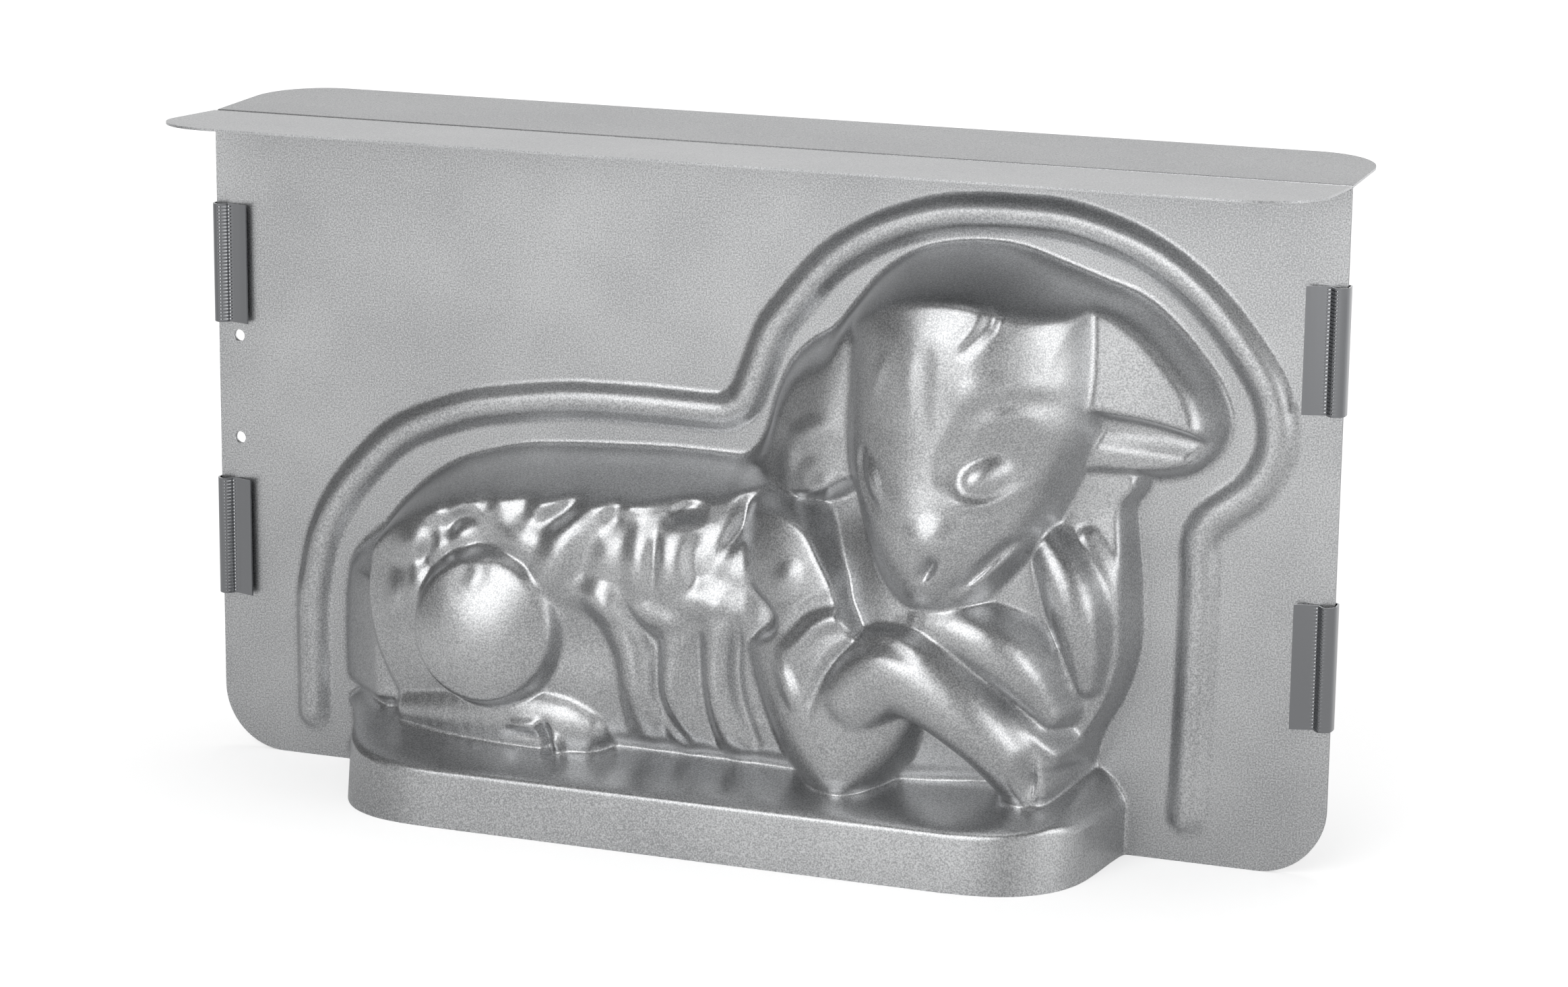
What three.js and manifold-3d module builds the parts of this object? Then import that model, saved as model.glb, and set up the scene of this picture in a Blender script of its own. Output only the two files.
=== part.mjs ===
// A two-part pressed steel mould for a cake in the shape of a lying lamb.
// Each half is one pressed sheet: a flat flange with the hollow form standing out of it, a
// sealing bead round the form, a foot bent out along the top edge, and two holes.
// Four sprung clips, two on each side edge, hold the halves face to face.
// Millimetres. X runs along the lamb, Y from the front half to the back half, Z up.
// The origin lies in the parting plane, at the middle of the bottom edge.

import * as THREE from 'three';
import { mergeVertices } from 'three/addons/utils/BufferGeometryUtils.js';
import Module from 'manifold-3d';

const wasm = await Module();
wasm.setup();

// The flat sheet of each half
const SHEET_WIDTH = 300;
const SHEET_HEIGHT = 170.9;
const SHEET_THICKNESS = 0.6;
const SHEET_CORNER_RADIUS = 17;
const HALVES_GAP = 0.3;

// The foot bent out along the top edge, which the mould stands on in the oven
const FOOT_DEPTH = 40.5;
const FOOT_RISE = 1.55;
const FOOT_BEND_RADIUS = 1.1;
const FOOT_CORNER_RADIUS = 18;

// The two hanging holes near the left edge
const HOLE_DIAMETER = 3.2;
const HOLE_EDGE_DISTANCE = 5.7;
const UPPER_HOLE_HEIGHT = 111.8;
const LOWER_HOLE_HEIGHT = 84.5;

// The pressed form, measured at the parting plane
const LAMB_START = 36.2;
const LAMB_LENGTH = 236.5;
const LAMB_HEIGHT = 150.7;
const LAMB_DEPTH = 46;
const PLINTH_HEIGHT = 15.1;
const PLINTH_SLOPE_RISE = 6.4;
const PLINTH_EDGE_ROUNDING = 7;
const PRESS_FILLET = 1.6;
const SOFT_BLEND = 3;
const SHARP_BLEND = 0.8;

// The sealing bead round the form
const BEAD_HEIGHT = 3;
const BEAD_HALF_WIDTH = 4.2;
const BEAD_NEST_CLEARANCE = 0.5;
const BEAD_SIDE_WALL = 0.45;
const BEAD_HOLLOW_OVERRUN = 1;

// The sprung clips
const CLIP_LENGTH = 31.3;
const CLIP_THICKNESS = 0.5;
const CLIP_REACH = 9.6;
const CLIP_CLEARANCE = 0.3;
const CLIP_GRIP_INSET = 3.9;
const CLIP_BULGE_HEIGHT = 2.4;
const CLIP_LIP_RISE = 1.7;
const CLIP_CURVE_STEPS = 2;
const LEFT_UPPER_CLIP_HEIGHT = 131.1;
const LEFT_LOWER_CLIP_HEIGHT = 58;
const RIGHT_UPPER_CLIP_HEIGHT = 131.1;
const RIGHT_LOWER_CLIP_HEIGHT = 53.2;

// How finely the pressed surface is cut into flat faces
const GRID_CELLS = 256;
const SURFACE_TOLERANCE = 1.1;
const CUT_OVERRUN = 5;
const JOIN_INSET = 0.03;
const BEND_STEPS = 4;
const CORNER_SEGMENTS = 8;
const OUTLINE_STEPS = 4;
const CHAIN_STEPS = 3;
const HOLE_SEGMENTS = 16;

const halfGap = HALVES_GAP / 2;
const outerFace = halfGap + SHEET_THICKNESS;
const sheetLeft = -SHEET_WIDTH / 2;
const lambLeft = sheetLeft + LAMB_START;

const coatedSteel = new THREE.MeshStandardMaterial({ color: 0xa9abad, roughness: 0.45, metalness: 0.85 });
const springSteel = new THREE.MeshStandardMaterial({ color: 0xd8d9da, roughness: 0.15, metalness: 1 });

// Smooth curves and blends

function splineThrough(points, steps, closed) {
  const count = points.length;
  const spans = closed ? count : count - 1;
  const pick = (i) => (closed ? points[(i + count) % count] : points[Math.min(Math.max(i, 0), count - 1)]);
  const curve = [];
  for (let i = 0; i < spans; i += 1) {
    const corners = [pick(i - 1), pick(i), pick(i + 1), pick(i + 2)];
    for (let step = 0; step < steps; step += 1) {
      curve.push(catmullRom(corners, step / steps));
    }
  }
  if (!closed) curve.push(points[count - 1]);
  return curve;
}

function catmullRom([p0, p1, p2, p3], t) {
  return p1.map((value, k) => catmullRomValue(p0[k], value, p2[k], p3[k], t));
}

function catmullRomValue(a, b, c, d, t) {
  const bend = 2 * a - 5 * b + 4 * c - d;
  const twist = 3 * b - a - 3 * c + d;
  return (2 * b + (c - a) * t + bend * t * t + twist * t * t * t) / 2;
}

function smoothMax(a, b, blend) {
  const share = THREE.MathUtils.clamp((1 + (a - b) / blend) / 2, 0, 1);
  return b + (a - b) * share + blend * share * (1 - share);
}

function smoothMin(a, b, blend) {
  return -smoothMax(-a, -b, blend);
}

// Places on the form are shares of its length, height and depth

function lambX(share) {
  return lambLeft + share * LAMB_LENGTH;
}

function lambZ(share) {
  return share * LAMB_HEIGHT;
}

function outlineOf(shares, closed = true, steps = OUTLINE_STEPS) {
  return splineThrough(shares.map(([x, z]) => [lambX(x), lambZ(z)]), steps, closed);
}

function chainOf(shares) {
  const points = shares.map(([x, z, depth, width]) => [
    lambX(x), lambZ(z), depth * LAMB_DEPTH, width * LAMB_HEIGHT,
  ]);
  return splineThrough(points, CHAIN_STEPS, false);
}

// Distance from a place to an outline, positive inside it
function distanceInside(outline, x, z) {
  let nearest = Infinity;
  let inside = false;
  outline.forEach(([ax, az], i) => {
    const [bx, bz] = outline[(i + 1) % outline.length];
    nearest = Math.min(nearest, distanceToSegment(ax, az, bx, bz, x, z)[0]);
    if (az > z !== bz > z && x < ax + ((z - az) * (bx - ax)) / (bz - az)) inside = !inside;
  });
  return inside ? nearest : -nearest;
}

function distanceToSegment(ax, az, bx, bz, x, z) {
  const dx = bx - ax;
  const dz = bz - az;
  const along = THREE.MathUtils.clamp(((x - ax) * dx + (z - az) * dz) / (dx * dx + dz * dz), 0, 1);
  return [Math.hypot(x - ax - dx * along, z - az - dz * along), along];
}

// A rounded back over a centre line: half an ellipse, then a straight drop
const rimShare = 0.94;

function roundedBack(distance, halfWidth, top, rise, drop) {
  const across = Math.min(distance / halfWidth, rimShare);
  const beyond = Math.max(distance - rimShare * halfWidth, 0);
  return top - rise * (1 - Math.sqrt(1 - across * across)) - drop * beyond;
}

function ridgeDepth(chain, rise, drop, x, z) {
  let depth = -Infinity;
  for (let i = 0; i < chain.length - 1; i += 1) {
    const [ax, az, aTop, aWidth] = chain[i];
    const [bx, bz, bTop, bWidth] = chain[i + 1];
    const [distance, along] = distanceToSegment(ax, az, bx, bz, x, z);
    const halfWidth = THREE.MathUtils.lerp(aWidth, bWidth, along);
    const top = THREE.MathUtils.lerp(aTop, bTop, along);
    depth = Math.max(depth, roundedBack(distance, halfWidth, top, rise, drop));
  }
  return depth;
}

function lookUp(rows, column, value) {
  const last = rows.length - 1;
  if (value <= rows[0][0]) return rows[0][column];
  if (value >= rows[last][0]) return rows[last][column];
  const i = rows.findIndex((row) => row[0] > value) - 1;
  const t = (value - rows[i][0]) / (rows[i + 1][0] - rows[i][0]);
  return THREE.MathUtils.lerp(rows[i][column], rows[i + 1][column], t);
}

// The plinth under the lamb: its plan runs from the parting plane out to its front
const plinthPlanShares = [
  [0.003, -0.043], [0.005, 0], [0.022, 0.174], [0.038, 0.348], [0.051, 0.522], [0.067, 0.709],
  [0.089, 0.852], [0.12, 0.948], [0.156, 0.991], [0.194, 1], [0.76, 1], [0.794, 0.991], [0.826, 0.948],
  [0.853, 0.861], [0.874, 0.739], [0.888, 0.565], [0.895, 0.348], [0.897, 0.174], [0.898, 0],
  [0.899, -0.087],
];
const plinthPlan = splineThrough(
  plinthPlanShares.map(([x, depth]) => [lambX(x), depth * LAMB_DEPTH]), OUTLINE_STEPS, false,
);
const plinthWallSlope = 0.09;
const plinthEndSlope = 6;
const plinthEndFallShare = 0.3;
const plinthEndShare = 0.07;

function plinthDepth(x, z) {
  const start = plinthPlan[0];
  const end = plinthPlan[plinthPlan.length - 1];
  const beyond = Math.max(start[0] - x, x - end[0], 0);
  const plan = lookUp(plinthPlan, 1, x) - plinthEndSlope * beyond - plinthWallSlope * z;
  const topSlope = LAMB_DEPTH / PLINTH_SLOPE_RISE;
  const endLength = plinthEndShare * LAMB_LENGTH;
  const leftEnd = THREE.MathUtils.clamp(1 - (x - start[0]) / endLength, 0, 1);
  const rightEnd = THREE.MathUtils.clamp(1 - (end[0] - x) / endLength, 0, 1);
  const fall = plinthEndFallShare * LAMB_DEPTH * (leftEnd * leftEnd + rightEnd * rightEnd);
  const top = (PLINTH_HEIGHT + PLINTH_SLOPE_RISE - z) * topSlope - fall;
  return smoothMin(plan, top, PLINTH_EDGE_ROUNDING);
}

// The outline where the form leaves the flange, and the drafted wall along it
const partingShares = [
  [0.005, 0], [0.005, 0.109], [0.002, 0.146], [0, 0.199], [0, 0.265], [0.003, 0.312], [0.008, 0.355],
  [0.02, 0.398], [0.045, 0.453], [0.083, 0.507], [0.122, 0.546], [0.16, 0.574], [0.218, 0.597],
  [0.27, 0.605], [0.333, 0.61], [0.397, 0.614], [0.452, 0.612], [0.475, 0.612], [0.491, 0.632],
  [0.502, 0.67], [0.513, 0.73], [0.53, 0.783], [0.553, 0.82], [0.576, 0.843], [0.595, 0.879],
  [0.625, 0.936], [0.659, 0.974], [0.693, 0.992], [0.735, 1], [0.777, 0.995], [0.819, 0.975],
  [0.862, 0.954], [0.904, 0.932], [0.938, 0.893], [0.967, 0.843], [0.989, 0.796], [1, 0.743],
  [0.991, 0.693], [0.959, 0.65], [0.925, 0.624], [0.907, 0.607], [0.904, 0.584], [0.908, 0.518],
  [0.912, 0.411], [0.91, 0.335], [0.897, 0.272], [0.877, 0.214], [0.869, 0.179], [0.871, 0.148],
  [0.886, 0.116], [0.897, 0.083], [0.898, 0],
];
const partingOutline = outlineOf(partingShares);
const wallSlope = 3.4;

// The body, neck and chest: a net of depths inside their own drafted wall
const bodyEdgeShares = [
  [0.044, 0], [0.088, 0.113], [0.09, 0.159], [0.077, 0.199], [0.062, 0.252], [0.053, 0.305],
  [0.05, 0.352], [0.052, 0.395], [0.058, 0.441], [0.088, 0.494], [0.122, 0.537], [0.16, 0.569],
  [0.218, 0.594], [0.27, 0.603], [0.333, 0.609], [0.397, 0.613], [0.452, 0.612], [0.49, 0.61],
  [0.523, 0.617], [0.693, 0.664], [0.904, 0.664], [0.903, 0.584], [0.907, 0.518], [0.911, 0.411],
  [0.908, 0.335], [0.896, 0.272], [0.876, 0.214], [0.868, 0.179], [0.862, 0.133], [0.853, 0],
];
const bodyColumnsShares = [
  0.016, 0.101, 0.185, 0.27, 0.354, 0.439, 0.523, 0.608, 0.693, 0.777, 0.862, 0.929,
];
const bodyRowsShares = [
  0.093, 0.133, 0.173, 0.239, 0.319, 0.411, 0.504, 0.597,
];
const bodyDepthsShares = [
  [0.196, 0.217, 0.217, 0.217, 0.239, 0.261, 0.304, 0.348, 0.348, 0.348, 0.304, 0.261],
  [0.261, 0.37, 0.391, 0.37, 0.37, 0.391, 0.435, 0.457, 0.435, 0.413, 0.348, 0.304],
  [0.304, 0.457, 0.522, 0.522, 0.522, 0.543, 0.565, 0.565, 0.522, 0.435, 0.348, 0.326],
  [0.326, 0.5, 0.587, 0.565, 0.565, 0.587, 0.609, 0.587, 0.522, 0.435, 0.37, 0.326],
  [0.348, 0.522, 0.609, 0.609, 0.609, 0.609, 0.609, 0.543, 0.478, 0.457, 0.413, 0.348],
  [0.348, 0.5, 0.609, 0.652, 0.652, 0.652, 0.63, 0.543, 0.478, 0.478, 0.457, 0.37],
  [0.326, 0.457, 0.543, 0.587, 0.609, 0.609, 0.587, 0.522, 0.457, 0.457, 0.435, 0.391],
  [0.261, 0.348, 0.413, 0.457, 0.478, 0.478, 0.457, 0.413, 0.413, 0.413, 0.413, 0.391],
];
const bodyEdge = outlineOf(bodyEdgeShares);

function netDepth(x, z) {
  const column = spanOf(bodyColumnsShares, (x - lambLeft) / LAMB_LENGTH);
  const row = spanOf(bodyRowsShares, z / LAMB_HEIGHT);
  const lastColumn = bodyColumnsShares.length - 1;
  const lastRow = bodyRowsShares.length - 1;
  const rowValues = [-1, 0, 1, 2].map((rowStep) => {
    const depths = bodyDepthsShares[THREE.MathUtils.clamp(row.index + rowStep, 0, lastRow)];
    const picked = [-1, 0, 1, 2].map((step) => (
      depths[THREE.MathUtils.clamp(column.index + step, 0, lastColumn)]
    ));
    return catmullRomValue(...picked, column.along);
  });
  return catmullRomValue(...rowValues, row.along) * LAMB_DEPTH;
}

function spanOf(marks, value) {
  const held = THREE.MathUtils.clamp(value, marks[0], marks[marks.length - 1]);
  const found = marks.findIndex((mark) => mark > held);
  const index = found < 0 ? marks.length - 2 : found - 1;
  return { index, along: (held - marks[index]) / (marks[index + 1] - marks[index]) };
}

function bodyDepth(x, z) {
  const wall = distanceInside(bodyEdge, x, z) * wallSlope;
  return smoothMin(netDepth(x, z), wall, SOFT_BLEND);
}

// The sloping strip behind the rump
const rumpStripShares = { width: 0.1, low: 0.16, high: 0.36, depth: 0.41 };

function rumpStripDepth(x, z) {
  const slope = Math.min(x - lambLeft, rumpStripShares.depth * LAMB_DEPTH);
  const beyond = Math.max(x - lambX(rumpStripShares.width), 0) * wallSlope;
  const above = Math.max(z - lambZ(rumpStripShares.high), 0);
  const below = Math.max(lambZ(rumpStripShares.low) - z, 0);
  return slope - beyond - above - below;
}

// The round haunch
const haunchShares = [0.235, 0.337];
const haunchRadiusShare = 0.14;
const haunchTopShare = 0.91;
const haunchRiseShare = 0.33;
const haunchDrop = 3;

function haunchDepth(x, z) {
  const distance = Math.hypot(x - lambX(haunchShares[0]), z - lambZ(haunchShares[1]));
  const radius = haunchRadiusShare * LAMB_HEIGHT;
  const rise = haunchRiseShare * LAMB_DEPTH;
  return roundedBack(distance, radius, haunchTopShare * LAMB_DEPTH, rise, haunchDrop);
}

// The hind foot lying on the plinth
const footShares = [
  [0.136, 0.147, 0.522, 0.027], [0.192, 0.153, 0.543, 0.031], [0.25, 0.157, 0.543, 0.032],
  [0.297, 0.157, 0.522, 0.033], [0.328, 0.148, 0.522, 0.032],
];
const footChain = chainOf(footShares);
const footRiseShare = 0.1;
const footDrop = 2.2;

function hindFootDepth(x, z) {
  return ridgeDepth(footChain, footRiseShare * LAMB_DEPTH, footDrop, x, z);
}

// The neck and shoulder, held inside the line where they step up from the chest
const shoulderShares = [
  [0.547, 0.616, 0.435, 0.066], [0.57, 0.55, 0.587, 0.1], [0.592, 0.471, 0.717, 0.133],
  [0.605, 0.387, 0.783, 0.139], [0.616, 0.301, 0.826, 0.126], [0.625, 0.226, 0.837, 0.106],
  [0.63, 0.174, 0.826, 0.08],
];
const shoulderEdgeShares = [
  [0.517, 0.555], [0.542, 0.568], [0.565, 0.568], [0.593, 0.55], [0.617, 0.504], [0.633, 0.468],
  [0.646, 0.426], [0.666, 0.392], [0.69, 0.374], [0.718, 0.364], [0.736, 0.338], [0.739, 0.227],
  [0.694, 0.17], [0.68, 0.147], [0.657, 0.114], [0.635, 0.102], [0.616, 0.105], [0.595, 0.116],
  [0.569, 0.144], [0.543, 0.163], [0.52, 0.194], [0.512, 0.251], [0.513, 0.297], [0.518, 0.338],
  [0.535, 0.362], [0.553, 0.396], [0.518, 0.453], [0.504, 0.503],
];
const shoulderChain = chainOf(shoulderShares);
const shoulderEdge = outlineOf(shoulderEdgeShares);
const shoulderRiseShare = 0.24;
const shoulderStepShare = 0.48;
const shoulderDrop = 2.4;
const shoulderStepSlope = 2.6;

function shoulderDepth(x, z) {
  const back = ridgeDepth(shoulderChain, shoulderRiseShare * LAMB_DEPTH, shoulderDrop, x, z);
  const wall = distanceInside(shoulderEdge, x, z) * shoulderStepSlope;
  const step = wall + shoulderStepShare * LAMB_DEPTH;
  return smoothMin(back, step, SOFT_BLEND);
}

// The foreleg, folded at the elbow, with its hoof at the front of the plinth
const forelegShares = [
  [0.653, 0.282, 0.891, 0.06], [0.679, 0.323, 0.92, 0.063], [0.708, 0.33, 0.935, 0.06],
  [0.737, 0.305, 0.939, 0.054], [0.773, 0.264, 0.939, 0.049], [0.807, 0.223, 0.935, 0.044],
  [0.829, 0.19, 0.924, 0.042], [0.84, 0.165, 0.902, 0.041],
];
const forelegChain = chainOf(forelegShares);
const forelegRiseShare = 0.17;
const forelegDrop = 3;

function forelegDepth(x, z) {
  return ridgeDepth(forelegChain, forelegRiseShare * LAMB_DEPTH, forelegDrop, x, z);
}

// Three folds of wool that run down the chest
const chestFoldsShares = [
  [[0.686, 0.434, 0.543, 0.027], [0.726, 0.405, 0.587, 0.033], [0.768, 0.384, 0.598, 0.036],
    [0.804, 0.368, 0.587, 0.036], [0.836, 0.321, 0.565, 0.033], [0.852, 0.27, 0.543, 0.03]],
  [[0.831, 0.561, 0.478, 0.027], [0.854, 0.499, 0.522, 0.033], [0.869, 0.434, 0.533, 0.036],
    [0.875, 0.376, 0.522, 0.033], [0.877, 0.329, 0.478, 0.027]],
  [[0.874, 0.591, 0.435, 0.023], [0.892, 0.512, 0.467, 0.03], [0.904, 0.44, 0.467, 0.027],
    [0.906, 0.382, 0.446, 0.023]],
];
const chestFoldChains = chestFoldsShares.map(chainOf);
const chestFoldRiseShare = 0.11;
const chestFoldDrop = 3;

function chestFoldsDepth(x, z) {
  const rise = chestFoldRiseShare * LAMB_DEPTH;
  return Math.max(...chestFoldChains.map((chain) => ridgeDepth(chain, rise, chestFoldDrop, x, z)));
}

// The ears: flat blades inside their outlines, with planes that tilt
const earUpperShares = [
  [0.834, 0.77], [0.87, 0.761], [0.917, 0.755], [0.968, 0.738], [0.996, 0.724], [1.014, 0.73],
  [0.997, 0.836], [0.934, 0.942], [0.853, 0.982], [0.803, 0.995],
];
const earLowerShares = [
  [0.843, 0.656], [0.876, 0.655], [0.924, 0.656], [0.963, 0.668], [0.997, 0.703], [1.005, 0.728],
  [0.964, 0.761], [0.927, 0.767], [0.862, 0.777],
];
const farEarShares = [
  [0.49, 0.644], [0.498, 0.604], [0.517, 0.571], [0.547, 0.556], [0.587, 0.554], [0.623, 0.571],
  [0.665, 0.623], [0.665, 0.806], [0.628, 0.88], [0.566, 0.849], [0.515, 0.79],
];
const earUpperEdge = outlineOf(earUpperShares);
const earLowerEdge = outlineOf(earLowerShares);
const farEarEdge = outlineOf(farEarShares);
const earBladeShares = {
  root: 0.853, upper: 0.48, lower: 0.3, far: 0.065, farStart: 0.507, deepest: 0.5,
};
const earTilts = { upper: 0.2, lower: 0.18, far: 0.95 };

function nearEarDepth(x, z) {
  const out = Math.max(x - lambX(earBladeShares.root), 0);
  const upper = bladeDepth(earUpperEdge, earBladeShares.upper * LAMB_DEPTH - earTilts.upper * out, x, z);
  const lower = bladeDepth(earLowerEdge, earBladeShares.lower * LAMB_DEPTH - earTilts.lower * out, x, z);
  return smoothMax(upper, lower, SHARP_BLEND);
}

function farEarDepth(x, z) {
  const inwards = Math.max(x - lambX(earBladeShares.farStart), 0);
  const tilted = earBladeShares.far * LAMB_DEPTH + earTilts.far * inwards;
  return bladeDepth(farEarEdge, Math.min(tilted, earBladeShares.deepest * LAMB_DEPTH), x, z);
}

function bladeDepth(edge, plane, x, z) {
  return smoothMin(plane, distanceInside(edge, x, z) * wallSlope, PRESS_FILLET);
}

// The head: level sections from chin to crown, each a rounded hump about its own centre
const headShares = [
  [0.372, 0.729, 0.04, 0.087, 2], [0.398, 0.729, 0.06, 0.304, 2], [0.421, 0.731, 0.083, 0.587, 2.1],
  [0.448, 0.732, 0.103, 0.761, 2.2], [0.484, 0.733, 0.119, 0.87, 2.3],
  [0.524, 0.735, 0.136, 0.941, 2.3], [0.564, 0.737, 0.154, 0.963, 2.2],
  [0.61, 0.738, 0.174, 0.939, 2.2], [0.664, 0.74, 0.194, 0.909, 2.3], [0.73, 0.743, 0.21, 0.902, 2.4],
  [0.796, 0.745, 0.211, 0.87, 2.4], [0.863, 0.743, 0.206, 0.783, 2.5],
  [0.916, 0.741, 0.199, 0.663, 2.6], [0.969, 0.739, 0.192, 0.543, 2.6],
  [1.035, 0.739, 0.186, 0.478, 2.6],
];
const headCurveSteps = 6;
const headSections = splineThrough(headShares.map(([z, centre, halfWidth, depth, fullness]) => [
  lambZ(z), lambX(centre), halfWidth * LAMB_HEIGHT, depth * LAMB_DEPTH, fullness,
]), headCurveSteps, false);
const headBaseShare = 0.17;
const headRimShare = 0.985;
const headRoundness = 0.45;

function headDepth(x, z) {
  const [centre, halfWidth, top, fullness] = [1, 2, 3, 4].map((column) => lookUp(headSections, column, z));
  const base = headBaseShare * LAMB_DEPTH;
  const across = Math.abs(x - centre);
  const share = Math.min(across / halfWidth, headRimShare);
  const hump = top > base ? base + (top - base) * (1 - share ** fullness) ** headRoundness : top;
  return hump - wallSlope * Math.max(across - headRimShare * halfWidth, 0);
}

// The whole pressed form of the front half, and the plainer far side of the lamb behind it
const clearOfForm = 2 * LAMB_DEPTH;

function partingWall(x, z) {
  const underPlinthTop = z < PLINTH_HEIGHT + PLINTH_SLOPE_RISE;
  return underPlinthTop ? clearOfForm : distanceInside(partingOutline, x, z) * wallSlope;
}

function pressed(forms, x, z) {
  let depth = -LAMB_DEPTH;
  forms.forEach(([form, blend]) => {
    depth = smoothMax(depth, form(x, z), blend);
  });
  return smoothMax(smoothMin(depth, partingWall(x, z), PRESS_FILLET), 0, PRESS_FILLET);
}

const frontForms = [
  [bodyDepth, SHARP_BLEND],
  [rumpStripDepth, SHARP_BLEND],
  [haunchDepth, SHARP_BLEND],
  [shoulderDepth, SHARP_BLEND],
  [chestFoldsDepth, SHARP_BLEND],
  [forelegDepth, SHARP_BLEND],
  [hindFootDepth, SHARP_BLEND],
  [plinthDepth, PRESS_FILLET],
  [nearEarDepth, SHARP_BLEND],
  [farEarDepth, SHARP_BLEND],
  [headDepth, SHARP_BLEND],
];

const backForms = [
  [bodyDepth, SHARP_BLEND],
  [rumpStripDepth, SHARP_BLEND],
  [haunchDepth, SHARP_BLEND],
  [shoulderDepth, SHARP_BLEND],
  [plinthDepth, PRESS_FILLET],
  [nearEarDepth, SHARP_BLEND],
  [farEarDepth, SHARP_BLEND],
  [backOfHeadDepth, SOFT_BLEND],
];

const backHeadShares = { x: 0.745, z: 0.75, radius: 0.27, top: 0.72, rise: 0.4 };
const backHeadDrop = 2.4;

function backOfHeadDepth(x, z) {
  const distance = Math.hypot(x - lambX(backHeadShares.x), z - lambZ(backHeadShares.z));
  const radius = backHeadShares.radius * LAMB_HEIGHT;
  const top = backHeadShares.top * LAMB_DEPTH;
  return roundedBack(distance, radius, top, backHeadShares.rise * LAMB_DEPTH, backHeadDrop);
}

function frontDepth(x, z) {
  return pressed(frontForms, x, z);
}

function backDepth(x, z) {
  return pressed(backForms, x, z);
}

// The sheet is cut into right triangles that stay large where it is flat
const bendCentreHeight = SHEET_HEIGHT - FOOT_BEND_RADIUS;
const joinedThickness = SHEET_THICKNESS - 2 * JOIN_INSET;
const denseRowsShares = [[0, 0], [0.04, 0.07], [0.2, 0.135], [1, 1]];

function sampleSurface(depthAt, side) {
  const surface = [];
  for (let row = 0; row <= GRID_CELLS; row += 1) {
    const z = lookUp(denseRowsShares, 1, row / GRID_CELLS) * bendCentreHeight;
    const points = [];
    for (let column = 0; column <= GRID_CELLS; column += 1) {
      const x = sheetLeft + (SHEET_WIDTH * column) / GRID_CELLS;
      points.push(new THREE.Vector3(x, side * (outerFace + depthAt(x, z)), z));
    }
    surface.push(points);
  }
  return surface;
}

function surfaceNormal(surface, column, row) {
  const near = (value) => Math.max(value - 1, 0);
  const far = (value) => Math.min(value + 1, GRID_CELLS);
  const across = surface[row][far(column)].clone().sub(surface[row][near(column)]);
  const up = surface[far(row)][column].clone().sub(surface[near(row)][column]);
  return across.cross(up).normalize();
}

// How far the surface is from the middle of each long edge that could be left whole
function edgeErrors(surface) {
  const errors = surface.map((row) => new Float64Array(row.length));
  const settle = (column, row, dx, dz, children) => {
    const middle = surface[row][column];
    const ends = surface[row - dz][column - dx].clone();
    ends.add(surface[row + dz][column + dx]).divideScalar(2);
    const away = ends.sub(middle).dot(surfaceNormal(surface, column, row));
    const error = Math.abs(away);
    const below = children.map(([childX, childZ]) => errors[row + childZ]?.[column + childX] ?? 0);
    errors[row][column] = Math.max(error, ...below);
  };
  for (let step = 1; step < GRID_CELLS; step *= 2) {
    const half = step / 2;
    const corners = step > 1 ? [[half, half], [half, -half], [-half, half], [-half, -half]] : [];
    const middles = [[step, 0], [-step, 0], [0, step], [0, -step]];
    for (let row = 0; row <= GRID_CELLS; row += step) {
      for (let column = 0; column <= GRID_CELLS; column += step) {
        const oddColumn = (column / step) % 2;
        const oddRow = (row / step) % 2;
        if (oddColumn !== oddRow) settle(column, row, oddColumn * step, oddRow * step, corners);
      }
    }
    for (let row = step; row < GRID_CELLS; row += 2 * step) {
      for (let column = step; column < GRID_CELLS; column += 2 * step) {
        const rise = diagonalRises(column, row, step) ? step : -step;
        settle(column, row, step, rise, middles);
      }
    }
  }
  return errors;
}

// A square's diagonal runs through the centre of the square twice its size
function diagonalRises(column, row, step) {
  if (step * 2 === GRID_CELLS) return true;
  const towards = (value) => (((value - step) / (2 * step)) % 2 === 1 ? 1 : -1);
  return towards(column) === towards(row);
}

function cutIntoTriangles(errors) {
  const triangles = [];
  const split = (a, b, c) => {
    const middle = [(a[0] + b[0]) / 2, (a[1] + b[1]) / 2];
    const smallest = Math.abs(a[0] - c[0]) + Math.abs(a[1] - c[1]) <= 1;
    if (smallest || errors[middle[1]][middle[0]] <= SURFACE_TOLERANCE) {
      triangles.push([a, b, c]);
      return;
    }
    split(c, a, middle);
    split(b, c, middle);
  };
  const end = GRID_CELLS;
  split([0, 0], [end, end], [end, 0]);
  split([end, end], [0, 0], [0, end]);
  return triangles;
}

// One pressed sheet: its outer surface, the same surface one thickness in, and its rim
function pressedSheet(depthAt, side) {
  const surface = sampleSurface(depthAt, side);
  const places = new Map();
  const outer = [];
  const faces = cutIntoTriangles(edgeErrors(surface)).map((corners) => {
    const indices = corners.map(([column, row]) => {
      const key = row * (GRID_CELLS + 1) + column;
      if (!places.has(key)) {
        places.set(key, outer.length);
        outer.push(surface[row][column]);
      }
      return places.get(key);
    });
    return side < 0 ? indices.reverse() : indices;
  });
  const inner = innerSurface(outer, faces);
  const count = outer.length;
  const triangles = [...faces, ...faces.map(([a, b, c]) => [count + a, count + c, count + b])];
  rimEdges(faces).forEach(([a, b]) => {
    triangles.push([b, a, count + a], [b, count + a, count + b]);
  });
  const geometry = new THREE.BufferGeometry();
  const positions = [...outer, ...inner].flatMap((point) => point.toArray());
  geometry.setAttribute('position', new THREE.Float32BufferAttribute(positions, 3));
  geometry.setIndex(triangles.flat());
  return geometry;
}

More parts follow.
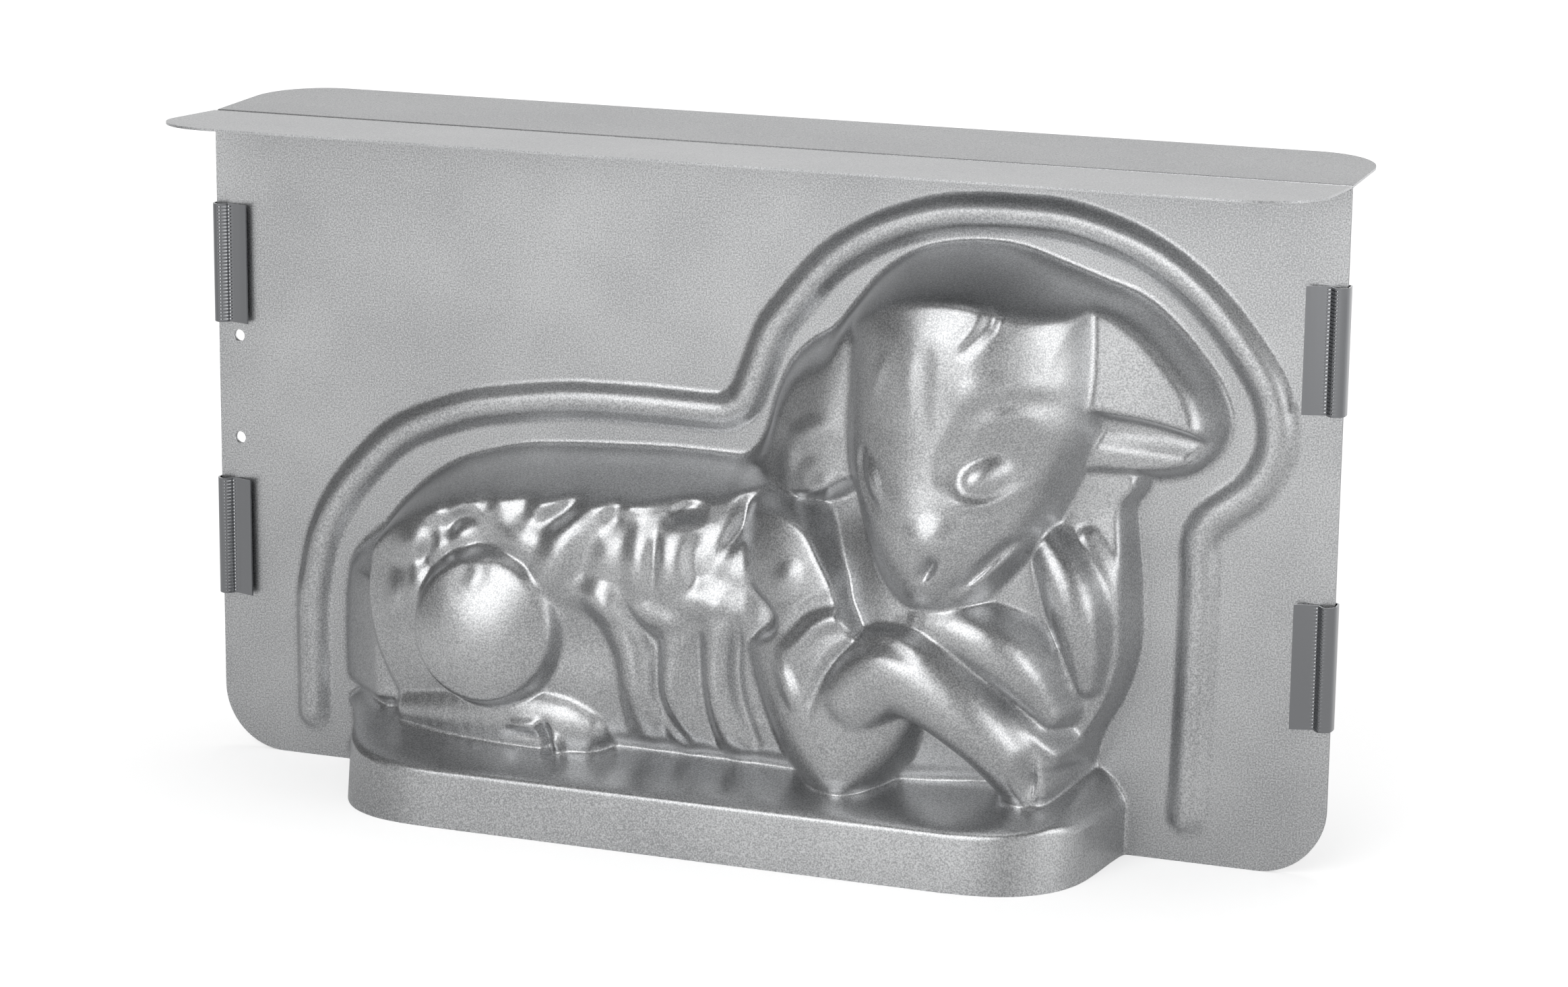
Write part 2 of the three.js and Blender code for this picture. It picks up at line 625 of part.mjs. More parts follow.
function innerSurface(outer, faces) {
  const normals = outer.map(() => new THREE.Vector3());
  faces.forEach(([a, b, c]) => {
    const edge = outer[b].clone().sub(outer[a]);
    const normal = edge.cross(outer[c].clone().sub(outer[a])).normalize();
    [a, b, c].forEach((index) => normals[index].add(normal));
  });
  return outer.map((point, index) => {
    const normal = normals[index];
    if (point.z === 0) normal.z = 0;
    return point.clone().addScaledVector(normal.normalize(), -SHEET_THICKNESS);
  });
}

function rimEdges(faces) {
  const open = new Map();
  faces.forEach((face) => {
    face.forEach((a, i) => {
      const b = face[(i + 1) % face.length];
      if (!open.delete(`${b} ${a}`)) open.set(`${a} ${b}`, [a, b]);
    });
  });
  return [...open.values()];
}

// Joining and cutting

function toSolid(geometry) {
  const bare = geometry.clone();
  bare.deleteAttribute('normal');
  bare.deleteAttribute('uv');
  const merged = mergeVertices(bare);
  return new wasm.Manifold(new wasm.Mesh({
    numProp: 3,
    vertProperties: new Float32Array(merged.attributes.position.array),
    triVerts: new Uint32Array(merged.index.array),
  }));
}

function toGeometry(solid) {
  const { vertProperties, triVerts } = solid.getMesh();
  const geometry = new THREE.BufferGeometry();
  geometry.setAttribute('position', new THREE.BufferAttribute(vertProperties, 3));
  geometry.setIndex(new THREE.BufferAttribute(triVerts, 1));
  geometry.computeVertexNormals();
  return geometry;
}

// A flat strip bent along a line of [u, v] points
function bentStrip(line, thickness) {
  const points = line.map(([u, v]) => new THREE.Vector2(u, v));
  const offset = (i, distance) => {
    const before = points[Math.max(i - 1, 0)];
    const after = points[Math.min(i + 1, points.length - 1)];
    const along = after.clone().sub(before).normalize();
    return points[i].clone().add(new THREE.Vector2(-along.y, along.x).multiplyScalar(distance));
  };
  const left = points.map((point, i) => offset(i, thickness / 2));
  const right = points.map((point, i) => offset(i, -thickness / 2)).reverse();
  return new THREE.Shape([...left, ...right]);
}

function arcPoints(centreU, centreV, radius, fromAngle, toAngle, steps) {
  const points = [];
  for (let i = 0; i <= steps; i += 1) {
    const angle = fromAngle + ((toAngle - fromAngle) * i) / steps;
    points.push([centreU + radius * Math.cos(angle), centreV + radius * Math.sin(angle)]);
  }
  return points;
}

// A square corner with its rounded part left out, which cuts a sharp corner round
function cornerCutter(radius, depth) {
  const shape = new THREE.Shape();
  shape.moveTo(-CUT_OVERRUN, -CUT_OVERRUN);
  shape.lineTo(radius, -CUT_OVERRUN);
  shape.lineTo(radius, 0);
  shape.absarc(radius, radius, radius, -Math.PI / 2, -Math.PI, true);
  shape.lineTo(-CUT_OVERRUN, radius);
  const settings = { depth, bevelEnabled: false, curveSegments: CORNER_SEGMENTS };
  const geometry = new THREE.ExtrudeGeometry(shape, settings);
  return geometry.translate(0, 0, -depth / 2);
}

// The sealing bead: a round-backed rib swept round the form at a distance. Both halves bulge
// towards the front, so that the back half's bead nests in the front half's.
const beadShares = [
  [-0.036, 0.064], [-0.036, 0.073], [-0.036, 0.087], [-0.036, 0.116], [-0.036, 0.179], [-0.036, 0.285],
  [-0.031, 0.337], [-0.021, 0.404], [-0.001, 0.47], [0.032, 0.536], [0.078, 0.599], [0.143, 0.647],
  [0.191, 0.668], [0.275, 0.685], [0.36, 0.69], [0.435, 0.689], [0.465, 0.699], [0.482, 0.728],
  [0.494, 0.781], [0.511, 0.84], [0.532, 0.887], [0.57, 0.953], [0.612, 0.999], [0.655, 1.029],
  [0.697, 1.047], [0.76, 1.056], [0.823, 1.051], [0.865, 1.037], [0.908, 1.012], [0.95, 0.973],
  [0.992, 0.913], [1.034, 0.827], [1.049, 0.774], [1.052, 0.721], [1.044, 0.675], [1.026, 0.635],
  [1, 0.602], [0.983, 0.576], [0.976, 0.543], [0.978, 0.47], [0.975, 0.271], [0.973, 0.179],
  [0.972, 0.116], [0.972, 0.087], [0.972, 0.073], [0.972, 0.064],
];
const beadLine = outlineOf(beadShares, false, 1);
const beadAcrossShares = [-1, -0.74, -0.4, 0, 0.4, 0.74, 1];
const beadEndShares = [[0.4, 0.05], [0.75, 0.62], [0.93, 0.9]];
const nestedBeadInset = 2;

function beadPlaces(inset) {
  const last = beadLine.length - 1;
  const places = beadLine.map(([x, z], i) => {
    const [beforeX, beforeZ] = beadLine[Math.max(i - 1, 0)];
    const [afterX, afterZ] = beadLine[Math.min(i + 1, last)];
    const along = new THREE.Vector2(afterX - beforeX, afterZ - beforeZ).normalize();
    const fromEnd = Math.min(i, last - i) - inset;
    const [widthShare, riseShare] = beadEndShares[fromEnd] ?? [1, 1];
    return { x, z, acrossX: -along.y, acrossZ: along.x, widthShare, riseShare };
  });
  return places.slice(inset, places.length - inset);
}

// A rib that rises towards the front from a sheet's face, with its flat root behind the face
function beadRib(inset, face, root, halfWidth, height) {
  const rise = height + root;
  const rootWidth = halfWidth / Math.sqrt(1 - root / rise);
  const rings = beadPlaces(inset).map((place) => beadAcrossShares.map((share) => {
    const across = rootWidth * place.widthShare * share;
    const y = face + root - rise * place.riseShare * (1 - share * share);
    return [place.x + place.acrossX * across, y, place.z + place.acrossZ * across];
  }));
  const count = beadAcrossShares.length;
  const triangles = [];
  for (let ring = 0; ring < rings.length - 1; ring += 1) {
    for (let i = 0; i < count; i += 1) {
      const a = ring * count + i;
      const b = ring * count + ((i + 1) % count);
      triangles.push([b, a, a + count], [b + count, b, a + count]);
    }
  }
  const last = (rings.length - 1) * count;
  for (let i = 1; i < count - 1; i += 1) {
    triangles.push([0, i, i + 1], [last, last + i + 1, last + i]);
  }
  const geometry = new THREE.BufferGeometry();
  geometry.setAttribute('position', new THREE.Float32BufferAttribute(rings.flat(2), 3));
  geometry.setIndex(triangles.flat());
  return geometry;
}

// Each half's rib and, inside it, the hollow behind the rib
function withBead(half, side) {
  const front = side < 0;
  const nested = front ? 0 : BEAD_NEST_CLEARANCE;
  const halfWidth = BEAD_HALF_WIDTH - nested - (front ? 0 : BEAD_SIDE_WALL);
  const height = BEAD_HEIGHT - nested;
  const frontFace = front ? -outerFace : halfGap;
  const rearFace = frontFace + SHEET_THICKNESS;
  const inset = front ? 0 : nestedBeadInset;
  const rib = beadRib(inset, frontFace, SHEET_THICKNESS / 2, halfWidth, height);
  const hollow = beadRib(inset + 1, rearFace, BEAD_HOLLOW_OVERRUN, halfWidth - BEAD_SIDE_WALL, height);
  return half.add(toSolid(rib)).subtract(toSolid(hollow));
}

// The foot: the sheet's top edge bent outwards, with its outer corners rounded
function footSolid(side) {
  const middle = outerFace - SHEET_THICKNESS / 2;
  const bendRadius = FOOT_BEND_RADIUS - SHEET_THICKNESS / 2;
  const bendCentre = middle + bendRadius;
  const tilt = Math.atan2(FOOT_RISE, FOOT_DEPTH - outerFace);
  const arc = arcPoints(bendCentre, bendCentreHeight, bendRadius, Math.PI, Math.PI / 2 + tilt, BEND_STEPS);
  const [bendEndY, bendEndZ] = arc[arc.length - 1];
  const outwards = FOOT_DEPTH - bendEndY;
  const line = [
    [middle, bendCentreHeight - CUT_OVERRUN],
    ...arc,
    [FOOT_DEPTH, bendEndZ + outwards * Math.tan(tilt)],
  ];
  const shape = bentStrip(line, joinedThickness);
  const length = SHEET_WIDTH - 2 * JOIN_INSET;
  const geometry = new THREE.ExtrudeGeometry(shape, { depth: length, bevelEnabled: false });
  const basis = new THREE.Matrix4().makeBasis(
    new THREE.Vector3(0, 1, 0), new THREE.Vector3(0, 0, 1), new THREE.Vector3(1, 0, 0),
  );
  geometry.applyMatrix4(basis);
  geometry.translate(sheetLeft + JOIN_INSET, 0, 0);
  let foot = toSolid(geometry);
  [0, 1].forEach((end) => {
    const cutter = cornerCutter(FOOT_CORNER_RADIUS, SHEET_HEIGHT);
    cutter.rotateZ((-Math.PI / 2) * (end ? 2 : 1));
    const cornerX = end ? -sheetLeft : sheetLeft;
    cutter.translate(cornerX, FOOT_DEPTH, SHEET_HEIGHT);
    foot = foot.subtract(toSolid(cutter));
  });
  return side < 0 ? foot.mirror([0, 1, 0]) : foot;
}

function holeSolid(height) {
  const radius = HOLE_DIAMETER / 2;
  const geometry = new THREE.CylinderGeometry(radius, radius, CUT_OVERRUN, HOLE_SEGMENTS);
  return toSolid(geometry.translate(sheetLeft + HOLE_EDGE_DISTANCE, 0, height));
}

function halfSolid(depthAt, side) {
  let half = toSolid(pressedSheet(depthAt, side)).add(footSolid(side));
  half = withBead(half, side);
  [sheetLeft, -sheetLeft].forEach((cornerX) => {
    const cutter = cornerCutter(SHEET_CORNER_RADIUS, CUT_OVERRUN);
    if (cornerX > 0) cutter.rotateZ(Math.PI / 2);
    cutter.rotateX(Math.PI / 2);
    cutter.translate(cornerX, 0, 0);
    half = half.subtract(toSolid(cutter));
  });
  [UPPER_HOLE_HEIGHT, LOWER_HOLE_HEIGHT].forEach((height) => {
    half = half.subtract(holeSolid(height));
  });
  return half;
}

// A clip: one strip of spring steel, a round back with two legs that pinch and flare
const clipShares = {
  lipMiddle: 0.42, shoulder: [0.82, 0.4], bulge: 0.52, back: [0.2, 0.93], corner: 0.6,
};

function clipLine() {
  const grip = outerFace + CLIP_CLEARANCE + CLIP_THICKNESS / 2;
  const spine = -CLIP_CLEARANCE - CLIP_THICKNESS / 2;
  const bulge = grip + CLIP_BULGE_HEIGHT - CLIP_THICKNESS;
  const [shoulderAlong, shoulderRise] = clipShares.shoulder;
  const [backAlong, backRise] = clipShares.back;
  const front = [
    [CLIP_REACH, grip + CLIP_LIP_RISE],
    [(CLIP_REACH + CLIP_GRIP_INSET) / 2, grip + CLIP_LIP_RISE * clipShares.lipMiddle],
    [CLIP_GRIP_INSET, grip],
    [CLIP_GRIP_INSET * shoulderAlong, grip + (bulge - grip) * shoulderRise],
    [CLIP_GRIP_INSET * clipShares.bulge, bulge],
    [CLIP_GRIP_INSET * backAlong, bulge * backRise],
    [spine * clipShares.corner, bulge * clipShares.corner],
    [spine, 0],
  ];
  const back = front.slice(0, -1).reverse().map(([u, v]) => [u, -v]);
  return splineThrough([...front, ...back], CLIP_CURVE_STEPS, false);
}

function clipGeometry() {
  const shape = bentStrip(clipLine(), CLIP_THICKNESS);
  const geometry = new THREE.ExtrudeGeometry(shape, { depth: CLIP_LENGTH, bevelEnabled: false });
  return geometry.translate(0, 0, -CLIP_LENGTH / 2);
}

function named(name, geometry, material) {
  const mesh = new THREE.Mesh(geometry, material);
  mesh.name = name;
  return mesh;
}

const group = new THREE.Group();
group.add(named('front_half', toGeometry(halfSolid(frontDepth, -1)), coatedSteel));
group.add(named('back_half', toGeometry(halfSolid(backDepth, 1)), coatedSteel));

const clips = [
  ['left_upper_clip', sheetLeft, LEFT_UPPER_CLIP_HEIGHT],
  ['left_lower_clip', sheetLeft, LEFT_LOWER_CLIP_HEIGHT],
  ['right_upper_clip', -sheetLeft, RIGHT_UPPER_CLIP_HEIGHT],
  ['right_lower_clip', -sheetLeft, RIGHT_LOWER_CLIP_HEIGHT],
];
clips.forEach(([name, edgeX, height]) => {
  const clip = named(name, clipGeometry(), springSteel);
  clip.position.set(edgeX, 0, height);
  if (edgeX > 0) clip.rotation.z = Math.PI;
  group.add(clip);
});

export default group;
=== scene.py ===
# %% [markdown]
# Lamb cake mould
#
# The object is a baking mould for a cake in the shape of a lying lamb. Two thin steel sheets are
# pressed to the lamb's two sides, laid face to face, and held together by four sprung clips.
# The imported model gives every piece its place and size. This lesson dresses it: each half is
# made again as one fine pressed sheet, each clip as one fine bent strip, and both get a finish.

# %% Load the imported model
import math

import bpy
import bmesh
import numpy as np
from mathutils import Matrix, Vector


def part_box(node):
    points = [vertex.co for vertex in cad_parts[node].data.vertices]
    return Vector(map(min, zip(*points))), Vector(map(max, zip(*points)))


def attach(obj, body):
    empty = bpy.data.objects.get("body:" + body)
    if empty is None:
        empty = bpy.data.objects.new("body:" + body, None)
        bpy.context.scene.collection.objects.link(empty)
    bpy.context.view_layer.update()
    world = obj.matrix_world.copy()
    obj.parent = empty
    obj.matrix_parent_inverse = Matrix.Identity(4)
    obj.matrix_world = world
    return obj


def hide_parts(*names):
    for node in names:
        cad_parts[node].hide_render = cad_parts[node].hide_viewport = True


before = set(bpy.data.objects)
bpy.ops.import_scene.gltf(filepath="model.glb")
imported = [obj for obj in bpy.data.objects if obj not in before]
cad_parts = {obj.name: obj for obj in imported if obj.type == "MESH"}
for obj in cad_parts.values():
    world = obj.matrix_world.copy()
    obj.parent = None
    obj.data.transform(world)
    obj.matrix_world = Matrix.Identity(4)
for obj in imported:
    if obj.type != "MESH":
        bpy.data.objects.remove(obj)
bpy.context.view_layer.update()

bpy.ops.object.select_all(action="DESELECT")

# %% [markdown]
# The mould's own measures
#
# A pressed sheet is easiest to think of in millimetres, measured from its lower left corner, so
# places below are written that way. The sheet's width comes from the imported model, and so do the
# heights of the clips. Depth counts away from the parting plane, in which the two halves meet.

# %% Measures of the sheet
MM = 0.001
front_low, front_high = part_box("front_half")
sheet_width = (front_high.x - front_low.x) / MM
sheet_left = front_low.x / MM
foot_tip_height = front_high.z / MM
halves_gap = 0.3
sheet_thickness = 0.6
outer_face = halves_gap / 2 + sheet_thickness
foot_rise = 1.5
foot_bend_radius = 1.1
foot_depth = 40.4
bend_start_height = foot_tip_height - foot_rise - foot_bend_radius - 0.05
plinth_depth = -front_low.y / MM - outer_face
print("sheet", round(sheet_width, 2), "mm wide, plinth", round(plinth_depth, 2), "mm deep")

# %% [markdown]
# The camera
#
# The photograph was taken from the front, a little to the right and a little above. The camera
# stands where straight edges of the sheet, seen from there, run as they do in the picture. The
# lens is written as a focal length in pixels of the 2327 pixel wide picture, turned to millimetres.

# %% Camera
PICTURE_WIDTH = 2327
FOCAL_PIXELS = 6334.94
SENSOR_WIDTH = 36.0
camera_place = Vector((373.615, -977.484, 327.813))
camera_azimuth = math.radians(20.4996)
camera_elevation = math.radians(13.1856)
camera_roll = math.radians(0.6511)

backward = Vector((
    math.sin(camera_azimuth) * math.cos(camera_elevation),
    -math.cos(camera_azimuth) * math.cos(camera_elevation),
    math.sin(camera_elevation),
))
level_right = (-backward).cross(Vector((0, 0, 1))).normalized()
level_up = backward.cross(level_right)
right = level_right * math.cos(camera_roll) + level_up * math.sin(camera_roll)
up = level_up * math.cos(camera_roll) - level_right * math.sin(camera_roll)

centre_x = sheet_left + sheet_width / 2
bpy.ops.object.camera_add()
camera = bpy.context.object
camera.name = "camera"
camera.data.sensor_width = SENSOR_WIDTH
camera.data.lens = SENSOR_WIDTH * FOCAL_PIXELS / PICTURE_WIDTH
camera.data.clip_end = 20
turn = Matrix((right, up, backward)).transposed().to_4x4()
camera.matrix_world = Matrix.Translation((camera_place + Vector((centre_x, 0, 0))) * MM) @ turn
bpy.context.scene.camera = camera
print("lens", round(camera.data.lens, 1), "mm")

# %% [markdown]
# The studio
#
# The mould stands on a pale floor in a bright room, lit by large soft lamps. Metal shows what it
# faces, so the room matters as much as the lamps: it is white behind the mould, to the right and
# low down, and dark to the left and high up. That is why walls that face up look dark and the
# fillets below them bright. Finishes and the room are sums of shader nodes, so a small class
# lets them be written as Python sums.

# %% Shader nodes as sums
class Shade:
    """A shader socket that takes part in Python sums, one Math node for each."""

    def __init__(self, tree, socket):
        self.tree = tree
        self.socket = socket

    def math(self, operation, *values):
        return nodes_of(self.tree, "Math", [self, *values], operation=operation)

    def __add__(self, other):
        return self.math("ADD", other)

    def __mul__(self, other):
        return self.math("MULTIPLY", other)

    def __rsub__(self, other):
        return self.math("MULTIPLY_ADD", -1.0, other)

    __radd__ = __add__
    __rmul__ = __mul__


# %% A node from its kind, its inputs and its settings
def nodes_of(tree, kind, inputs=(), output=0, **settings):
    """Adds a node, sets it, fills its sockets with values or links and gives back one output."""
    node = tree.nodes.new("ShaderNode" + kind)
    for name, value in settings.items():
        if name == "stops":
            while len(node.color_ramp.elements) < len(value):
                node.color_ramp.elements.new(0.5)
            for stop, (place, shade) in zip(node.color_ramp.elements, value):
                stop.position = place
                stop.color = shade
        else:
            setattr(node, name, value)
    pairs = inputs.items() if isinstance(inputs, dict) else enumerate(inputs)
    for name, value in pairs:
        if isinstance(value, Shade):
            tree.links.new(value.socket, node.inputs[name])
        else:
            node.inputs[name].default_value = value
    return Shade(tree, node.outputs[output] if node.outputs else None)


# %% Mapped values, new materials and kinds of rays
def mapped(tree, value, start, end, low=0.0, high=1.0, easing="LINEAR"):
    return nodes_of(tree, "MapRange", {
        "Value": value, "From Min": start, "From Max": end, "To Min": low, "To Max": high,
    }, interpolation_type=easing)


def new_material(name):
    material = bpy.data.materials.new(name)
    material.use_nodes = True
    material.node_tree.nodes.clear()
    return material, material.node_tree


def seen_by(tree, *rays):
    """1 for the kinds of rays named, such as Camera or Glossy."""
    path = nodes_of(tree, "LightPath").socket.node
    first, *others = [Shade(tree, path.outputs["Is " + ray + " Ray"]) for ray in rays]
    return sum(others, first).math("MINIMUM", 1.0)


# %% The floor: white to the camera, and in what the metal mirrors a painted glow, faint just in front of the mould and strongest far behind it
FLOOR_SIZE = 6.0
FLOOR_COLOUR = (0.82, 0.82, 0.82, 1)
FLOOR_REACH = (-1.6, 1.6)
# Painted reflection: how brightly the floor glows to mirrored rays only, set by place along the
# floor, almost nothing just in front of the mould
FLOOR_PAINTED_REFLECTION = [(0.0, 0.4), (0.25, 0.3), (0.44, 0.04), (0.5, 0.06), (0.6, 0.4), (1.0, 0.85)]
FLOOR_WHITE = (0.5, 0.95)

floor_finish, tree = new_material("floor_paper")
paper = nodes_of(tree, "BsdfDiffuse", {"Color": FLOOR_COLOUR})
spot = nodes_of(tree, "TexCoord", output="Object")
depth = nodes_of(tree, "SeparateXYZ", [spot], "Y")
place = mapped(tree, depth, *FLOOR_REACH)
# The strength that mirrored rays see is painted reflection; the camera sees a plain white floor
strength = nodes_of(tree, "ValToRGB", [place],
                    stops=[(at, (glow, glow, glow, 1)) for at, glow in FLOOR_PAINTED_REFLECTION])
white = mapped(tree, depth, 0.0, FLOOR_REACH[1], *FLOOR_WHITE)
shown = seen_by(tree, "Glossy") * strength + seen_by(tree, "Camera") * white
glow = nodes_of(tree, "Emission", {"Strength": shown})
both = nodes_of(tree, "AddShader", [paper, glow])
nodes_of(tree, "OutputMaterial", {"Surface": both})

bpy.ops.mesh.primitive_plane_add(size=FLOOR_SIZE, location=(0, 0, 0))
floor = bpy.context.object
floor.name = "floor"
floor.data.materials.append(floor_finish)
print("floor", FLOOR_SIZE, "m wide")

# %% The room: white behind, to the right and low down, dark to the left and high up
ROOM_DARK = 0.2
ROOM_WHITE = 1.45
ROOM_SOFT = 0.42
WHITE_SIDE = (0.72, 0.69, 0.0)
WHITE_EDGE = 0.35
DARK_ABOVE, WHITE_BELOW = 0.62, 0.22

world = bpy.data.worlds.new("room")
bpy.context.scene.world = world
world.use_nodes = True
tree = world.node_tree
tree.nodes.clear()
direction = nodes_of(tree, "TexCoord", output="Generated")
rise = nodes_of(tree, "SeparateXYZ", [direction], "Z")
facing = nodes_of(tree, "VectorMath", [direction, WHITE_SIDE], "Value", operation="DOT_PRODUCT")
whitest = mapped(tree, facing, -WHITE_EDGE, WHITE_EDGE, easing="SMOOTHSTEP")
lowest = mapped(tree, rise, DARK_ABOVE, WHITE_BELOW, easing="SMOOTHSTEP")
shown = whitest * lowest * (ROOM_WHITE - ROOM_DARK) + ROOM_DARK
direct = seen_by(tree, "Camera", "Glossy", "Transmission")
brightness = shown * direct + (1 - direct) * ROOM_SOFT
sky = nodes_of(tree, "Background", {"Strength": brightness})
nodes_of(tree, "OutputWorld", {"Surface": sky})
print("room", len(tree.nodes), "nodes")

# %% Soft lamps, each by where it hangs, how wide it is and how strong
LAMPS = {
    "key_lamp": {"azimuth": -8, "elevation": 27, "distance": 1.7, "size": 1.4, "watts": 12},
    "side_lamp": {"azimuth": 85, "elevation": 15, "distance": 1.4, "size": 0.9, "watts": 2.5},
    "top_lamp": {"azimuth": 160, "elevation": 84, "distance": 1.5, "size": 1.0, "watts": 5},
}
for name, lamp in LAMPS.items():
    azimuth, elevation = math.radians(lamp["azimuth"]), math.radians(lamp["elevation"])
    towards = Vector((math.sin(azimuth) * math.cos(elevation),
                      -math.cos(azimuth) * math.cos(elevation), math.sin(elevation)))
    bpy.ops.object.light_add(type="AREA", location=towards * lamp["distance"])
    light = bpy.context.object
    light.name = name
    light.data.shape = "DISK"
    light.data.size = lamp["size"]
    light.data.energy = lamp["watts"]
    light.rotation_euler = towards.to_track_quat("Z", "Y").to_euler()
bpy.context.scene.view_settings.view_transform = "Standard"
print("lamps", list(LAMPS))

# %% [markdown]
# The coated steel
#
# The sheets are steel with a silver-grey coat. It is satin, with a fine sparkle like sprayed
# aluminium paint. A flat metal colour would look like plastic film, so the colour and roughness
# vary a little at the size of the sparkle, and a faint broad mottling keeps large faces alive.

# %% Coated steel
SPECKLE_SCALE = 2600
MOTTLE_SCALE = 28
SPECKLE_SHARE, MOTTLE_SHARE = 0.8, 0.2
COAT_DARK = (0.38, 0.385, 0.395, 1)
COAT_LIGHT = (0.70, 0.705, 0.71, 1)
COAT_STOPS = [(0.38, COAT_DARK), (0.62, COAT_LIGHT)]
COAT_ROUGHNESS, SPECKLE_ROUGHNESS, MOTTLE_ROUGHNESS = 0.27, 0.16, 0.06


def noise(tree, place, scale, detail):
    return nodes_of(tree, "TexNoise", {"Vector": place, "Scale": scale, "Detail": detail})


def metal(tree, colour, roughness, grain, strength, height):
    """Ends a finish as bare metal, with a grain that breaks up what it mirrors."""
    bump = nodes_of(tree, "Bump", {"Strength": strength, "Distance": height, "Height": grain})
    surface = nodes_of(tree, "BsdfPrincipled", {
        "Base Color": colour, "Metallic": 1.0, "Roughness": roughness, "Normal": bump,
    })
    nodes_of(tree, "OutputMaterial", {"Surface": surface})


coat, tree = new_material("coated_steel")
place = nodes_of(tree, "TexCoord", output="Object")
speckle = noise(tree, place, SPECKLE_SCALE, 2.0)
mottle = noise(tree, place, MOTTLE_SCALE, 3.0)
shade = speckle * SPECKLE_SHARE + mottle * MOTTLE_SHARE
colour = nodes_of(tree, "ValToRGB", [shade], stops=COAT_STOPS)
roughness = speckle * SPECKLE_ROUGHNESS + mottle * MOTTLE_ROUGHNESS + COAT_ROUGHNESS
metal(tree, colour, roughness, speckle, strength=0.25, height=0.00004)
print("coated steel", len(tree.nodes), "nodes")

# %% [markdown]
# The spring steel
#
# The clips are smooth, darker spring steel, left uncoated. One even roughness would make them
# perfect mirrors, so long faint scratches from pulling them on and off change it along the clip.

# %% Spring steel
SCRATCH_SCALE = 900
SCRATCH_STRETCH = (1, 1, 0.06)
SPRING_COLOUR = (0.27, 0.275, 0.285, 1)
SPRING_ROUGHNESS, SCRATCH_ROUGHNESS = 0.04, 0.18

spring, tree = new_material("spring_steel")
place = nodes_of(tree, "TexCoord", output="Object")
stretched = nodes_of(tree, "Mapping", {"Vector": place, "Scale": SCRATCH_STRETCH})
scratch = noise(tree, stretched, SCRATCH_SCALE, 3.0)
roughness = scratch * SCRATCH_ROUGHNESS + SPRING_ROUGHNESS
metal(tree, SPRING_COLOUR, roughness, scratch, strength=0.15, height=0.00002)
print("spring steel", len(tree.nodes), "nodes")

# %% [markdown]
# Drawing a pressing as heights
#
# A pressed sheet has one height over each place, so a press tool can leave it. That makes a
# height field the natural way to model it: every form on the lamb is a small function that says
# how far it stands out, and the forms are blended with soft maximums, as a sculptor blends clay.
# Modelling by extrusion can't give such flowing forms, so the grid's vertices are moved in code.

# %% Places in the photograph, and blends
VIEW_X = camera_place.x + centre_x / MM - sheet_left
VIEW_Z = camera_place.z
VIEW_DISTANCE = -camera_place.y
DRAFT = 3.4


def seen(x, z, depth):
    """A place read off the photograph, moved to where it lies at that depth."""
    share = depth / VIEW_DISTANCE
    return x + (VIEW_X - x) * share, z + (VIEW_Z - z) * share


def soft_max(a, b, blend):
    share = np.clip(0.5 + 0.5 * (a - b) / blend, 0, 1)
    return b + (a - b) * share + blend * share * (1 - share)


def soft_min(a, b, blend):
    return -soft_max(-a, -b, blend)


def ramp(value, start, length):
    """0 at the start, 1 once the length is passed, backwards where the length is negative."""
    return np.clip((value - start) / length, 0, 1)


print("the camera stands", round(VIEW_DISTANCE), "mm away and", round(VIEW_Z), "mm up")

# %% Smooth lines
def cubic(a, b, c, d, t):
    """A smooth way from b to c, steered by their neighbours a and d."""
    return 0.5 * (2 * b + (c - a) * t + (2 * a - 5 * b + 4 * c - d) * t ** 2
                  + (3 * b - a - 3 * c + d) * t ** 3)


def smooth_line(points, steps=5, closed=True):
    """A smooth curve through the points, whatever each of them holds."""
    points = np.asarray(points, float)
    count = len(points)
    curve = []
    for i in range(count if closed else count - 1):
        around = [points[k % count if closed else min(max(k, 0), count - 1)]
                  for k in (i - 1, i, i + 1, i + 2)]
        curve += [cubic(*around, step / steps) for step in range(steps)]
    if not closed:
        curve.append(points[-1])
    return np.array(curve)


def outline_seen(places, steps=4):
    return smooth_line([seen(*place) for place in places], steps)


square = smooth_line([(0, 0), (9, 0), (9, 9), (0, 9)])
print("a smooth line round 4 corners has", len(square), "points")


# %% Distances to curves
FAR_OFF = 1e9


def window(x, z, curve, reach):
    """The rows and columns of the grid that lie within reach of a curve."""
    low, high = curve[:, :2].min(0) - reach, curve[:, :2].max(0) + reach
    columns = np.flatnonzero((x[0] > low[0]) & (x[0] < high[0]))
    rows = np.flatnonzero((z[:, 0] > low[1]) & (z[:, 0] < high[1]))
    return slice(rows[0], rows[-1] + 1), slice(columns[0], columns[-1] + 1)


def to_segment(x, z, a, b):
    along_x, along_z = b[0] - a[0], b[1] - a[1]
    share = np.clip(((x - a[0]) * along_x + (z - a[1]) * along_z)
                    / (along_x ** 2 + along_z ** 2 + 1e-12), 0, 1)
    return np.hypot(x - a[0] - along_x * share, z - a[1] - along_z * share), share


def nearest_on(x, z, curve):
    """How far off an open curve is, and which share of the way along it the nearest place is."""
    nearest, place = np.full(x.shape, FAR_OFF), np.zeros(x.shape)
    for i, (a, b) in enumerate(zip(curve[:-1], curve[1:])):
        distance, share = to_segment(x, z, a, b)
        closer = distance < nearest
        nearest = np.where(closer, distance, nearest)
        place = np.where(closer, (i + share) / (len(curve) - 1), place)
    return nearest, place


off, share = nearest_on(np.array([5.0]), np.array([3.0]), np.array([(0.0, 0.0), (10.0, 0.0)]))
print("beside the middle of a line:", off[0], "mm off, at share", round(float(share[0]), 2))

